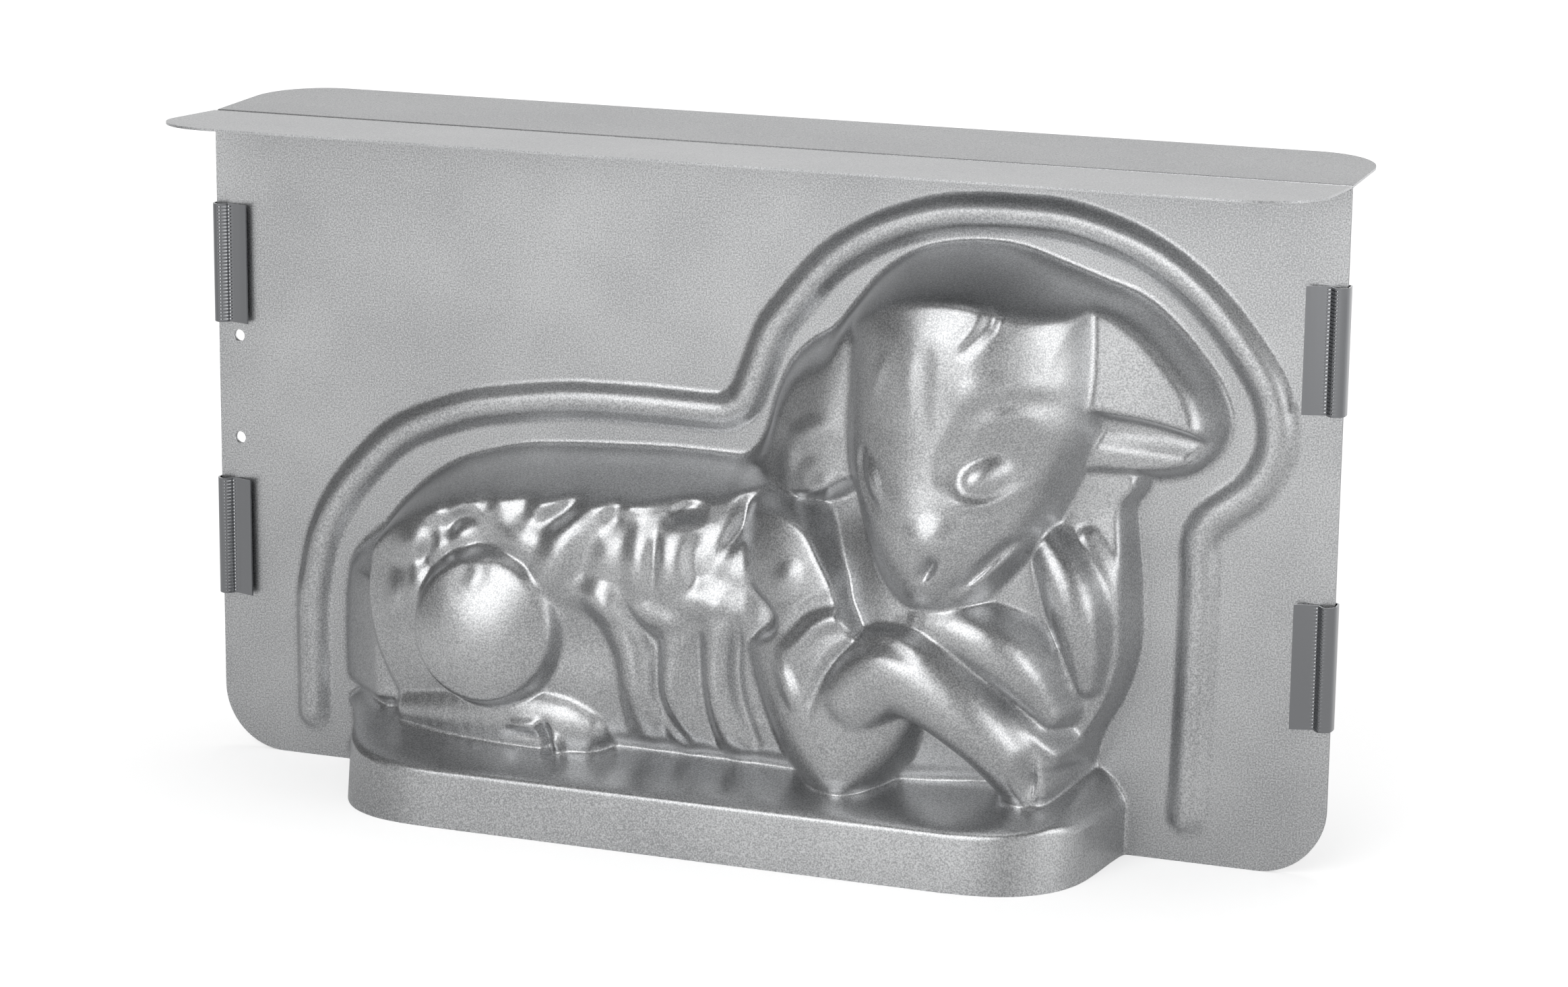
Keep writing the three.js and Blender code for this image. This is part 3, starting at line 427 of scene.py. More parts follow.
# %% Distance in from an outline
def inside(x, z, outline, reach=12):
    """Distance in from an outline, negative outside it and held at minus reach far away."""
    result = np.full(x.shape, -float(reach))
    part = window(x, z, outline, reach)
    px, pz = x[part], z[part]
    nearest = np.full(px.shape, FAR_OFF)
    within = np.zeros(px.shape, bool)
    for a, b in zip(outline, np.roll(outline, -1, 0)):
        nearest = np.minimum(nearest, to_segment(px, pz, a, b)[0])
        crosses = (a[1] > pz) != (b[1] > pz)
        slope = (b[0] - a[0]) / (b[1] - a[1] if b[1] != a[1] else 1e-12)
        within ^= crosses & (px < a[0] + (pz - a[1]) * slope)
    result[part] = np.where(within, nearest, -np.minimum(nearest, reach))
    return result


middle = inside(np.array([[4.5]]), np.array([[4.5]]), square)
print("the middle of the rounded square lies", round(float(middle[0, 0]), 1), "mm in")

# %% Ridges
RIM_SHARE = 0.94
FAR_BELOW = -99.0


def crown(distance, half_width, top, rise, drop):
    """A rounded back: an ellipse out to its rim, then a steep fall."""
    across = np.minimum(distance / half_width, RIM_SHARE)
    beyond = np.maximum(distance - RIM_SHARE * half_width, 0)
    return top - rise * (1 - np.sqrt(1 - across ** 2)) - drop * beyond


def ridge(x, z, places, rise, drop, reach=24):
    """A rounded back along places of x, z, depth and half width, as seen in the photograph."""
    line = smooth_line([(*seen(px, pz, depth), depth, width) for px, pz, depth, width in places],
                       steps=4, closed=False)
    result = np.full(x.shape, FAR_BELOW)
    part = window(x, z, line, reach)
    px, pz = x[part], z[part]
    best = np.full(px.shape, FAR_BELOW)
    for a, b in zip(line[:-1], line[1:]):
        distance, share = to_segment(px, pz, a, b)
        width = a[3] + (b[3] - a[3]) * share
        top = a[2] + (b[2] - a[2]) * share
        best = np.maximum(best, crown(distance, width, top, rise, drop))
    result[part] = best
    return result


print("a rounded back 10 mm wide falls", round(5 - crown(4, 5, 5, 5, 2), 2), "mm in its first 4")

# %% Lumps and strokes
LUMP_POWER = 1.5
STROKE_ENDS = (0.02, 0.98)


def tilted(dx, dz, tilt, half_long, half_wide):
    """How far along and across a tilted oval a place is, as shares of its half axes."""
    angle = math.radians(tilt)
    along = (dx * math.cos(angle) + dz * math.sin(angle)) / half_long
    across = (dz * math.cos(angle) - dx * math.sin(angle)) / half_wide
    return along, across


def lump(x, z, place, half_long, half_wide, tilt, height):
    """A soft bump, or a dent where the height is negative."""
    centre = seen(*place)
    along, across = tilted(x - centre[0], z - centre[1], tilt, half_long, half_wide)
    return height * np.clip(1 - along ** 2 - across ** 2, 0, 1) ** LUMP_POWER


def stroke(x, z, places, depth, half_width, height, sharp=2.0, taper=0.5):
    """A soft welt, or a groove where the height is negative, that fades towards its ends."""
    line = smooth_line([seen(px, pz, depth) for px, pz in places], closed=False)
    result = np.zeros(x.shape)
    part = window(x, z, line, half_width)
    nearest, place = nearest_on(x[part], z[part], line)
    fade = np.clip(np.sin(np.pi * np.clip(place, *STROKE_ENDS)), 0, 1) ** taper
    result[part] = height * fade * (1 - np.clip(nearest / half_width, 0, 1) ** 2) ** sharp
    return result


def marked(form, x, z, strokes, lumps=()):
    """A form with strokes and lumps pressed into it."""
    for values in strokes:
        form = form + stroke(x, z, *values)
    for values in lumps:
        form = form + lump(x, z, *values)
    return form


print("halfway out a lump keeps", round(100 * 0.75 ** LUMP_POWER), "% of its height")

# %% A coarse grid over the sheet, to measure the forms on
TRIAL_STEP = 2.0
TRIAL_X, TRIAL_Z = np.meshgrid(np.arange(0, sheet_width, TRIAL_STEP),
                               np.arange(0, bend_start_height, TRIAL_STEP))


def tallest(form):
    """How far a form stands out at its highest place."""
    return round(float(form(TRIAL_X, TRIAL_Z).max()), 1)


print("forms are measured at", TRIAL_X.size, "places")

# %% [markdown]
# The plinth and the outline of the form
#
# The lamb lies on a plinth with rounded corners, whose open underside is the mouth that the
# batter goes in through. The plinth's front is one wall, so it is drawn as a plan: how far out
# the wall stands at each place along the sheet. Its top slopes up to the sheet.

# %% Plinth
PLINTH_PLAN = [
    (36.8, -2), (37.5, 0), (41.5, 8), (45.2, 16), (48.2, 24), (52, 32.6), (57.2, 39.2),
    (64.5, 43.6), (72, 45.4), (80, 45.95), (90, 46), (206, 46), (216, 45.9), (224, 45.3),
    (231.5, 43.4), (238, 39.6), (243, 34), (246.3, 26), (247.8, 16), (248.3, 8), (248.6, 0),
    (248.8, -4),
]
PLINTH_TOP = 15.1
PLINTH_TOP_RISE = 6.4
PLINTH_ROUNDING = 7.0
PLINTH_LEAN = 0.14
PLINTH_FILLET = 13.0
FLANGE_FILLET = 3.2
# For each end: how steeply the wall falls past it, how far from it the top starts to dip, and
# how far it dips.
LEFT_END = (3, 20, 5)
RIGHT_END = (9, 9, 8)


def plinth(x, z):
    plan = smooth_line(PLINTH_PLAN, steps=12, closed=False)
    wall = np.interp(x, plan[:, 0], plan[:, 1])
    left, right = PLINTH_PLAN[0][0], PLINTH_PLAN[-1][0]
    back_edge = PLINTH_TOP + PLINTH_TOP_RISE
    for past, (fall, length, dip) in ((left - x, LEFT_END), (x - right, RIGHT_END)):
        wall = wall - fall * np.maximum(past, 0)
        back_edge = back_edge - dip * (1 - ramp(-past, 0, length)) ** 2
    top = (back_edge - z) * plinth_depth / PLINTH_TOP_RISE
    return soft_min(wall - PLINTH_LEAN * z, top, PLINTH_ROUNDING)


print("the plinth meets the sheet", PLINTH_TOP + PLINTH_TOP_RISE, "mm up")

# %% Where the form leaves the flat flange
PARTING = smooth_line([
    (37.3, -20), (37.3, 0), (37.3, 16.4), (36.6, 22), (36.2, 30), (36.3, 40), (36.8, 47),
    (38.2, 53.5), (41, 60),
    (46.8, 68.2), (55.9, 76.4), (65, 82.3), (74, 86.5), (87.7, 90), (100, 91.2), (115, 92),
    (130, 92.5), (143, 92.3), (148.5, 92.3), (152.4, 95.2), (155, 101), (157.5, 110), (161.5, 118),
    (167, 123.5), (172.5, 127), (177, 132.5), (184, 141), (192, 146.8), (200, 149.5), (210, 150.7),
    (220, 150), (230, 147), (240, 143.8), (250, 140.5), (258, 134.5), (265, 127), (270, 120),
    (272.7, 112), (270.5, 104.5), (263, 98), (255, 94), (250.8, 91.5), (250, 88), (251, 78),
    (252, 62), (251.4, 50.5), (248.4, 41), (243.6, 32.3), (241.8, 27), (242.3, 22.3),
    (245.8, 17.5), (248.4, 12.5), (248.5, 0), (248.5, -20),
])
print("outline from", PARTING.min(0).round(1), "to", PARTING.max(0).round(1))

# %% [markdown]
# The body
#
# The lamb's flank, chest and neck are one gently swelling surface. A net of depths, like the
# lines on a map, gives that swell: one row for each height, one value every 20 mm along.

# %% The net of depths, and the body's edge
BODY_COLUMNS = np.array([40, 60, 80, 100, 120, 140, 160, 180, 200, 220, 240, 256], float)
BODY_ROWS = np.array([14, 19.5, 24.5, 36, 48, 62, 76, 90])
BODY_DEPTHS = np.array([
    [9, 13, 15, 15, 15, 15, 16, 17, 17, 15, 11, 9],
    [12, 18, 21, 21.5, 21.5, 21.5, 22, 23, 21, 17, 12, 9],
    [14, 21, 25, 26, 26, 26, 27, 27, 25, 20, 13, 9],
    [15, 23, 28, 28, 28, 28, 28, 28, 28, 23, 14, 10],
    [16, 24, 28, 27.5, 27.5, 28, 28, 30, 32, 28, 16, 10],
    [16, 23, 28, 29, 29, 29.5, 27, 28, 33, 28, 16, 10],
    [15, 21, 25, 27, 28, 28, 20, 24, 30, 26, 14, 10],
    [12, 16, 19, 21, 22, 20, 13, 17, 20, 18, 11, 9],
])
BODY_EDGE = smooth_line([
    (46.5, 0), (57, 17), (57.5, 24), (54.5, 30), (50.8, 38), (48.8, 46), (48, 53), (48.6, 59.5),
    (50, 66.5), (57, 74.5), (65, 81), (74, 85.7), (87.7, 89.5), (100, 90.9), (115, 91.8),
    (130, 92.4), (143, 92.2), (152, 92), (160, 93), (200, 100), (250, 100), (249.8, 88),
    (250.8, 78), (251.6, 62), (251, 50.5), (248, 41), (243.4, 32.3), (241.6, 27), (240, 20),
    (238, 0),
], 4)
print("a net of", BODY_DEPTHS.size, "depths")

# %% The body's swell, drawn through the net
def span(value, marks):
    """Between which two marks a value lies, and how far along."""
    value = np.clip(value, marks[0], marks[-1] - 1e-9)
    index = np.clip(np.searchsorted(marks, value, side="right") - 1, 0, len(marks) - 2)
    return index, (value - marks[index]) / (marks[index + 1] - marks[index])


def net(x, z):
    """The depth over each place, drawn smoothly through the values around it."""
    column, along = span(x, BODY_COLUMNS)
    row, upward = span(z, BODY_ROWS)
    neighbours = (-1, 0, 1, 2)
    rows = []
    for row_step in neighbours:
        picked = np.clip(row + row_step, 0, len(BODY_ROWS) - 1)
        values = [BODY_DEPTHS[picked, np.clip(column + step, 0, len(BODY_COLUMNS) - 1)]
                  for step in neighbours]
        rows.append(cubic(*values, along))
    return cubic(*rows, upward)


print("the flank is up to", BODY_DEPTHS.max(), "mm deep")

# %% Walls of the body. A pair holds where a change starts and over what length it grows
BODY_DRAFT = 5.0
CHEST_UPRIGHT, CHEST_ALONG, CHEST_UP = 8.0, (234, 8), (104, -8)
CROWN_UPRIGHT, CROWN_ALONG, CROWN_UP = 1.6, (248, -12), (118, 12)
BODY_ROUNDING = 2.4
BACK_ROUNDING, BACK_ALONG, BACK_UP = 1.4, (200, -20), (60, 10)
RUMP_EDGE, RUMP_START, RUMP_SLOPE, RUMP_TOP = 36.2, 0.5, 1.02, 19
RUMP_SPAN, RUMP_END = (24, 54), 60


def wall_slope(x, z, slope):
    """The walls lean back with the draft the press needs, less so at the chest and the crown."""
    chest_part = ramp(x, *CHEST_ALONG) * ramp(z, *CHEST_UP)
    crown_part = ramp(z, *CROWN_UP) * ramp(x, *CROWN_ALONG)
    return slope + CHEST_UPRIGHT * chest_part + CROWN_UPRIGHT * crown_part


def rump_strip(x, z):
    """The flat sloping strip behind the rump, which ends above, below and to the right."""
    slope = soft_min((x - RUMP_EDGE) * RUMP_SLOPE + RUMP_START, RUMP_TOP, 2)
    slope = slope - 1.2 * np.maximum(z - RUMP_SPAN[1], 0) - 1.5 * np.maximum(RUMP_SPAN[0] - z, 0)
    return slope - DRAFT * np.maximum(x - RUMP_END, 0)


def walled(x, z, swell):
    """The body closed in by its outline, more softly along the back."""
    wall = wall_slope(x, z, BODY_DRAFT) * inside(x, z, BODY_EDGE)
    rounding = BODY_ROUNDING + BACK_ROUNDING * ramp(z, *BACK_UP) * ramp(x, *BACK_ALONG)
    return soft_max(soft_min(swell, wall, rounding), rump_strip(x, z), 1.0)


print("for each 1 mm in, the body's walls rise", BODY_DRAFT, "mm")

# %% [markdown]
# Wool, haunch and belly
#
# The wool is pressed as tufts along the back and as hanging strands at the belly. Tufts could be
# carved as dents between flat patches, but then they look like chips. Each is a rounded cap
# instead, laid over the body and blended with it, with a few creases cut between the caps. The
# strands are soft welts with a narrow crease beside each.

# %% Wool, as places in the photograph: x, z, half length, half width, tilt and height
WOOL_DEPTH = 29
WOOL_BLEND = 2.6
DOME_RISE = 2.8
DOME_LEAN_X, DOME_LEAN_Z = 0.10, 0.22
WOOL_DOMES = [
    (56.5, 62, 7.5, 5.2, 55, 2.6), (63, 70.8, 7.5, 5.4, 35, 3.0), (71, 74, 9, 6, 15, 3.4),
    (62.8, 60.8, 5.4, 4, 60, 2.2), (69.5, 64, 5.6, 4, 30, 1.8), (57, 50.5, 9, 4.8, 85, 2.6),
    (50, 47.5, 8.5, 3.6, 78, 1.8), (80, 72.5, 9.5, 7.5, 45, 2.8), (89, 64.5, 9, 6.4, -20, 2.8),
    (93, 76, 10, 6, 35, 4.0), (98.3, 64.5, 11, 5.6, 62, 3.6), (107.5, 74.5, 11, 6, 55, 3.4),
    (117, 77.5, 9, 6.2, 5, 4.2), (127.5, 81, 9, 5.6, 5, 4.2), (140.5, 80.5, 10, 6, 10, 3.6),
    (119.8, 63.8, 9.5, 4.8, 88, 2.4), (128.4, 63.6, 10, 6, 90, 2.6), (146.3, 61.4, 11, 9, 25, 4.0),
    (147.2, 52.5, 7, 4, 90, 1.8), (138, 67.5, 9, 4.8, 72, 2.4), (152.4, 72, 12, 5.6, 75, 3.0),
    (109.8, 53, 10, 5.6, -10, 1.7), (124.5, 49.4, 8, 4.6, 2, 1.8), (137.4, 54.4, 10, 5, 12, 1.9),
    (86, 81.5, 10, 6, 10, 4.0), (101.5, 83, 11, 6, 5, 4.2), (76, 79, 9, 5, 25, 3.4),
    (112, 64, 9, 6.4, 80, 1.6), (134, 71.5, 6, 4.4, 60, 1.6),
]
print(len(WOOL_DOMES), "tufts")

# %% Creases and strands: places, half width and height
WOOL_CREASES = [
    ([(56.5, 54.5), (58.5, 58), (61, 62.5)], 2.4, -1.2),
    ([(64.5, 63), (66.5, 67.3), (72, 69)], 2.6, -1.4),
    ([(92, 69), (97, 71.6), (104, 79), (108, 85)], 3.6, -1.8),
    ([(87.5, 85), (88, 77), (85, 70)], 4.0, -1.6), ([(115, 84), (112.5, 76), (111, 70)], 3.6, -1.4),
    ([(74, 81), (74.5, 76), (77, 71)], 3.6, -1.2), ([(61.5, 75), (64.5, 69.5)], 3.2, -1.2),
    ([(138, 86), (132, 79), (127, 74)], 3.8, -1.8), ([(123.9, 69), (124, 56)], 2.0, -1.2),
    ([(133, 67.5), (133.4, 63), (134.5, 57)], 2.2, -1.2),
    ([(141.5, 66.5), (145.5, 73), (151, 79.5)], 2.6, -1.6),
    ([(126, 74.6), (136, 75)], 3.6, -2.4), ([(60.6, 44), (60.6, 53)], 2.2, -1.0),
    ([(114, 51), (119, 45), (124, 40)], 2.6, -1.6),
]
STRAND_DEPTH = 26
STRAND_SHARP, STRAND_TAPER = 1.5, 0.25
STRANDS = [
    ([(110, 52.5), (115.6, 43), (118.2, 37), (119.6, 29), (122, 17)], 5.4, 2.8),
    ([(130.3, 46), (129.4, 36), (129.4, 28), (132.5, 16)], 5.0, 2.6),
    ([(142.5, 51), (141.4, 38), (142.4, 27), (146.5, 16)], 5.2, 2.8),
    ([(125.4, 41), (125.4, 30), (127.4, 24), (133, 16)], 2.2, -1.7),
    ([(136.6, 44), (137.3, 33), (138.8, 23), (141, 16)], 2.2, -1.7),
    ([(147.4, 50), (146.8, 38), (148.3, 28), (152, 18)], 2.0, -1.4),
]
print(len(WOOL_CREASES), "creases and", len(STRANDS), "strand lines")

# %% The wool, laid over the body
def dome(x, z, place, half_long, half_wide, tilt, height):
    """A tuft: a rounded cap that stands over the body at its centre and leans to the light."""
    cx, cz = seen(*place)
    dx, dz = x - cx, z - cz
    along, across = tilted(dx, dz, tilt, half_long, half_wide)
    peak = net(np.array([cx]), np.array([cz]))[0] + height
    cap = peak - DOME_RISE * (along ** 2 + across ** 2)
    return cap - DOME_LEAN_X * dx - DOME_LEAN_Z * dz


def wool(x, z):
    relief = net(x, z)
    for px, pz, *shape in WOOL_DOMES:
        relief = soft_max(relief, dome(x, z, (px, pz, WOOL_DEPTH), *shape), WOOL_BLEND)
    for places, width, height in WOOL_CREASES:
        relief = relief + stroke(x, z, places, WOOL_DEPTH, width, height)
    for places, width, height in STRANDS:
        relief = relief + stroke(x, z, places, STRAND_DEPTH, width, height,
                                 STRAND_SHARP, STRAND_TAPER)
    return relief


print("the wool stands", tallest(wool), "mm out")

# %% Haunch and hind foot
HAUNCH_PLACE, HAUNCH_SHIFT = (78, 41.6, 30), 0.8
HAUNCH_HALF_LONG, HAUNCH_HALF_HIGH = 18.9, 19.6
HAUNCH_TOP, HAUNCH_RISE, HAUNCH_DROP = 39, 5, 60
HAUNCH_LEAN_X, HAUNCH_LEAN_Z = 0.13, 0.1
HAUNCH_STROKES = [
    ([(72, 51), (74.8, 54.5), (73, 59)], 34, 3.4, 0.7),
    ([(81, 57), (86, 53.5), (91, 50)], 33, 3.4, 0.6),
]
HIND_FOOT = [(55, 14.6, 25, 6), (66, 14.8, 28.5, 7), (80, 15.2, 30.5, 7.6), (94, 15.2, 31, 7.6),
             (101.5, 14.4, 30, 6.6)]
FOOT_STROKES = [
    ([(94, 17), (94.6, 13), (95.3, 9)], 27, 1.8, -3.4),
    ([(85, 16), (90, 16.6), (93.5, 17)], 27, 1.8, 1.6),
    ([(84, 13), (89, 13.4), (93.5, 13)], 27, 1.8, -1.4),
]
FOOT_LUMPS = [((98, 12, 26), 3.8, 2.4, 92, 1.8)]


def haunch(x, z):
    cx, cz = seen(*HAUNCH_PLACE)
    cx, cz = cx - HAUNCH_SHIFT, cz - HAUNCH_SHIFT
    share = np.hypot((x - cx) / HAUNCH_HALF_LONG, (z - cz) / HAUNCH_HALF_HIGH)
    ball = HAUNCH_TOP - HAUNCH_RISE * np.minimum(share, RIM_SHARE) ** 2
    ball = ball - HAUNCH_DROP * np.maximum(share - RIM_SHARE, 0)
    ball = ball - HAUNCH_LEAN_X * (x - cx) - HAUNCH_LEAN_Z * (z - cz)
    return marked(ball, x, z, HAUNCH_STROKES)


def hind_foot(x, z):
    foot = ridge(x, z, HIND_FOOT, rise=4.0, drop=2.2)
    return marked(foot, x, z, FOOT_STROKES, FOOT_LUMPS)


print("the haunch stands", HAUNCH_TOP, "mm out")

# %% [markdown]
# Shoulder, foreleg and chest
#
# The shoulder is the highest part of the flank, and the foreleg crosses it, folded at the elbow.
# Each is a rounded back laid along a line of places. A pinched groove along the foreleg's upper
# side and a few sharp folds at the chest give the crisp facets that the press tool leaves.

# %% Shoulder, foreleg and chest folds, as places
SHOULDER = [(158, 88, 18, 10), (161, 76, 26, 15), (166, 62, 32, 22), (171, 48, 35, 26),
            (171, 34, 38, 22), (171, 22, 38.5, 17), (171.5, 14, 38, 12)]
SHOULDER_EDGE = outline_seen([
    (150, 78, 22), (156, 80, 22), (161, 79.5, 24), (167.3, 76.4, 25), (172.7, 69.1, 26),
    (176.4, 63.2, 27), (179, 56.4, 28), (183.6, 50.9, 29), (189, 47.7, 30), (195.5, 45.9, 31),
    (200, 41.8, 31), (200, 24, 33), (189, 15, 33), (185.5, 11.4, 33), (180, 6.4, 33),
    (174.5, 4.5, 33), (170, 5, 33), (165.5, 7.3, 31), (160, 12.3, 29), (154.5, 15.9, 27),
    (149.5, 21.4, 25), (148, 30.5, 24), (148.2, 37.7, 24), (149.5, 44, 24), (153.6, 47.7, 24),
    (158, 53, 24), (150, 62, 23), (147, 70, 22),
])
FORELEG = [(176, 31, 41, 10), (182, 37, 42, 11), (189, 38, 42.6, 11), (197, 33.5, 42.6, 9.8),
           (205, 27.8, 41.6, 8.8), (212, 22.2, 39, 8), (218, 16.6, 35, 7.6), (221.5, 12.6, 31, 7)]
FORELEG_EDGE = [(190, 47.6, 35.5, 2.4), (195, 45.4, 37, 2.6), (202, 40, 37.5, 2.6),
                (210, 34, 36, 2.6), (220, 28.3, 32, 2.5), (228, 23.8, 27.5, 2.3),
                (231.5, 21.8, 24, 2)]
FORELEG_GROOVE = [(166, 27), (168.5, 35), (173, 42), (180, 46.5), (187, 47.7), (194, 45)]
CHEST_FOLDS = [
    [(184, 54.5, 30, 5), (195, 52, 35, 6.5), (205, 50.5, 36.5, 7), (213, 46.5, 36, 7),
     (220.5, 40.5, 33, 6), (228, 33, 27, 4)],
    [(225, 78, 20, 4), (229.5, 69, 23, 6), (233, 60, 24, 6.5), (235.5, 50, 22, 5.5),
     (237, 42, 19, 4)],
    [(236.5, 79, 14, 3.5), (241, 70, 14.5, 4.5), (243.5, 61, 13.5, 4), (244.5, 52, 12.5, 3.5)],
]
print(len(SHOULDER), "places along the shoulder,", len(FORELEG), "along the foreleg")

# %% The shoulder, held inside its edge
SHOULDER_STROKES = [
    ([(158.5, 39), (163, 45.5), (170, 52), (180, 53), (188, 49)], 34, 3.6, 1.5),
    ([(160, 47), (166, 54), (174, 58)], 32, 3.6, -0.8),
]
SHOULDER_LUMPS = [((160, 62, 31), 6, 4, 60, 0.9), ((160, 34, 36), 8, 3.0, 115, 1.4)]


def held_in(x, z, outline, top, slope, foot, blend, reach=20):
    """A form held inside an outline, by a wall that rises from the foot at the outline."""
    return soft_min(top, inside(x, z, outline, reach) * slope + foot, blend)


def shoulder(x, z):
    back = ridge(x, z, SHOULDER, rise=11, drop=2.4, reach=34)
    form = held_in(x, z, SHOULDER_EDGE, back, slope=DRAFT, foot=26.5, blend=2.5, reach=26)
    return marked(form, x, z, SHOULDER_STROKES, SHOULDER_LUMPS)


print("the shoulder stands", tallest(shoulder), "mm out")

# %% Foreleg and chest
def foreleg(x, z):
    leg = ridge(x, z, FORELEG, rise=9, drop=7.0)
    return soft_max(leg, ridge(x, z, FORELEG_EDGE, rise=1.5, drop=6.0), 0.8)


def chest(x, z):
    folds = np.full(x.shape, FAR_BELOW)
    for places in CHEST_FOLDS:
        folds = soft_max(folds, ridge(x, z, places, rise=6, drop=4.0), 1.2)
    return folds


print("the foreleg stands", max(place[2] for place in FORELEG), "mm out")

# %% [markdown]
# The head
#
# The lamb looks out at the viewer, so its head is a mask that stands well off the sheet. Level
# sections from chin to crown carry the shape: each is a rounded hump with its own centre, width,
# height and squareness. The ears are flat blades held back inside their outlines.

# %% Head sections: z, centre, half width, height at the centre, squareness
HEAD_SECTIONS = smooth_line([
    (56, 208.5, 6, 4, 2), (60, 208.5, 9, 14, 2), (63.5, 209, 12.5, 27, 2.05),
    (67.5, 209.3, 15.5, 35, 2.1), (73, 209.6, 18, 40, 2.15), (79, 210, 20.5, 43.3, 2.15),
    (85, 210.4, 23.2, 44.3, 2.1), (92, 210.8, 26.2, 43.6, 2.1), (100, 211.3, 29.2, 42.6, 2.1),
    (110, 212, 31.6, 42, 2.15), (118, 212.3, 31.8, 41.8, 2.1), (126, 212.2, 31.5, 41.3, 2.1),
    (134, 211.8, 30.8, 40, 2.15), (141, 211.4, 30.2, 37.4, 2.2), (148, 211, 29.6, 34, 2.3),
    (156, 211, 28, 24, 2.4),
], 6, False)
HEAD_BASE = 8.0
HEAD_RIM = 0.985
HEAD_POWER = 0.48
HEAD_TURN, HEAD_TURN_REACH, MUZZLE_UP = 0.1, 25, (112, -16)


def hump(x, z, sections):
    """A form lofted through level sections: z, centre, half width, top and squareness."""
    centre, half, top, square = [np.interp(z, sections[:, 0], sections[:, k]) for k in (1, 2, 3, 4)]
    across = np.abs(x - centre)
    share = np.minimum(across / half, HEAD_RIM)
    rounded = HEAD_BASE + (top - HEAD_BASE) * (1 - share ** square) ** HEAD_POWER
    aside = np.clip(x - centre, -HEAD_TURN_REACH, HEAD_TURN_REACH)
    rounded = rounded - HEAD_TURN * ramp(z, *MUZZLE_UP) * aside
    return np.where(top > HEAD_BASE, rounded, top) - DRAFT * np.maximum(across - HEAD_RIM * half, 0)


print("the head stands", round(HEAD_SECTIONS[:, 3].max(), 1), "mm out")


# %% Face: strokes as places, depth, half width and height, and lumps as lump() takes them
def eye_ring(centre_x, centre_z, long, wide, tilt):
    tilt = math.radians(tilt)
    return [(centre_x + long * math.cos(t) * math.cos(tilt) - wide * math.sin(t) * math.sin(tilt),
             centre_z + long * math.cos(t) * math.sin(tilt) + wide * math.sin(t) * math.cos(tilt))
            for t in (math.radians(step) for step in range(0, 361, 24))]


FACE_STROKES = [
    ([(195.5, 124), (195.5, 114), (196, 103)], 40, 3.4, -0.5),
    ([(191.5, 121), (191.5, 114), (192, 106)], 38, 2.6, 0.25),
    ([(202, 91), (204, 99), (206.5, 105), (211, 109.5), (218, 111.6), (225, 110.6)], 37, 3.6, -1.2),
    ([(203, 110), (208, 113.5), (216, 115.4), (226, 115), (236, 112)], 38, 4.5, 0.5),
    ([(205.5, 87.5), (211.5, 86), (218.5, 89.5)], 36, 2.4, 1.1),
    ([(181.3, 98), (180.8, 94), (182.8, 88.5), (186.5, 84)], 31, 2.0, -1.8),
    ([(202.5, 61.5), (209, 67.5), (216.5, 75)], 40, 1.8, -3.2),
    ([(206, 62), (211.5, 67.2), (217, 73)], 39, 1.8, 1.8),
    ([(198.6, 70.4), (197, 67.7), (194.8, 64.8)], 42, 1.9, -3.8),
    ([(209, 137.5), (208.8, 131), (203.5, 125)], 35, 2.2, 0.4),
    ([(211.6, 137), (211.2, 130), (206.5, 124)], 35, 2.2, -0.8),
    ([(214.3, 130), (216, 134), (220, 136)], 34, 1.8, 0.7),
    ([(212.8, 129.5), (213.5, 133.5)], 34, 1.8, -0.7),
    ([(229, 130), (226.5, 124), (225, 118)], 34, 1.8, 0.5),
    ([(187, 122), (185.2, 117), (183.5, 112)], 31, 2.2, 0.5),
    ([(204, 121), (201.5, 113), (202, 106)], 40, 4.0, -0.3),
    (eye_ring(212.5, 93.4, 6.6, 4.8, 25), 35, 2.2, -0.5),
]
FACE_LUMPS = [
    ((213.5, 98, 34), 14, 10.5, 28, -3.4), ((212.5, 93.4, 34), 7, 5.2, 25, 2.8),
    ((184.2, 91, 31), 7, 3.6, 112, 1.3), ((198, 75.5, 43), 7.5, 6.5, 0, 0.9),
    ((209, 121, 38), 13, 9, 70, 0.4), ((224, 80, 32), 11, 7, 60, 0.8),
]


def head(x, z):
    return marked(hump(x, z, HEAD_SECTIONS), x, z, FACE_STROKES, FACE_LUMPS)


print("face of", len(FACE_STROKES), "strokes and", len(FACE_LUMPS), "lumps")

# %% Ears, as outlines, creases and rims
NEAR_EAR_UPPER = outline_seen([
    (228, 110.4, 22), (238, 109, 22), (250, 108.8, 19), (262, 107.6, 15), (270, 107, 9),
    (276, 110, 0), (272, 126, 0), (257, 142, 0), (238, 148, 0), (226, 150, 0),
], 5)
NEAR_EAR_LOWER = outline_seen([
    (230, 96, 13), (240, 96, 13), (252, 96.8, 12), (262, 99.5, 10), (271, 105, 6), (273, 109, 4),
    (262, 114, 10), (252, 116, 13), (230, 118, 15),
], 5)
FAR_EAR = outline_seen([
    (146, 97, 0), (151.5, 91, 10), (154, 86, 13), (158, 82.2, 15), (165, 80.6, 17), (172, 81, 19),
    (178, 84, 20), (190, 92, 20), (190, 118, 20), (182, 134, 8), (168, 132, 0), (152, 120, 0),
], 5)
NEAR_EAR_CREASE = [(236, 107.6), (250, 106.8), (262, 105.4), (269, 104.6)]
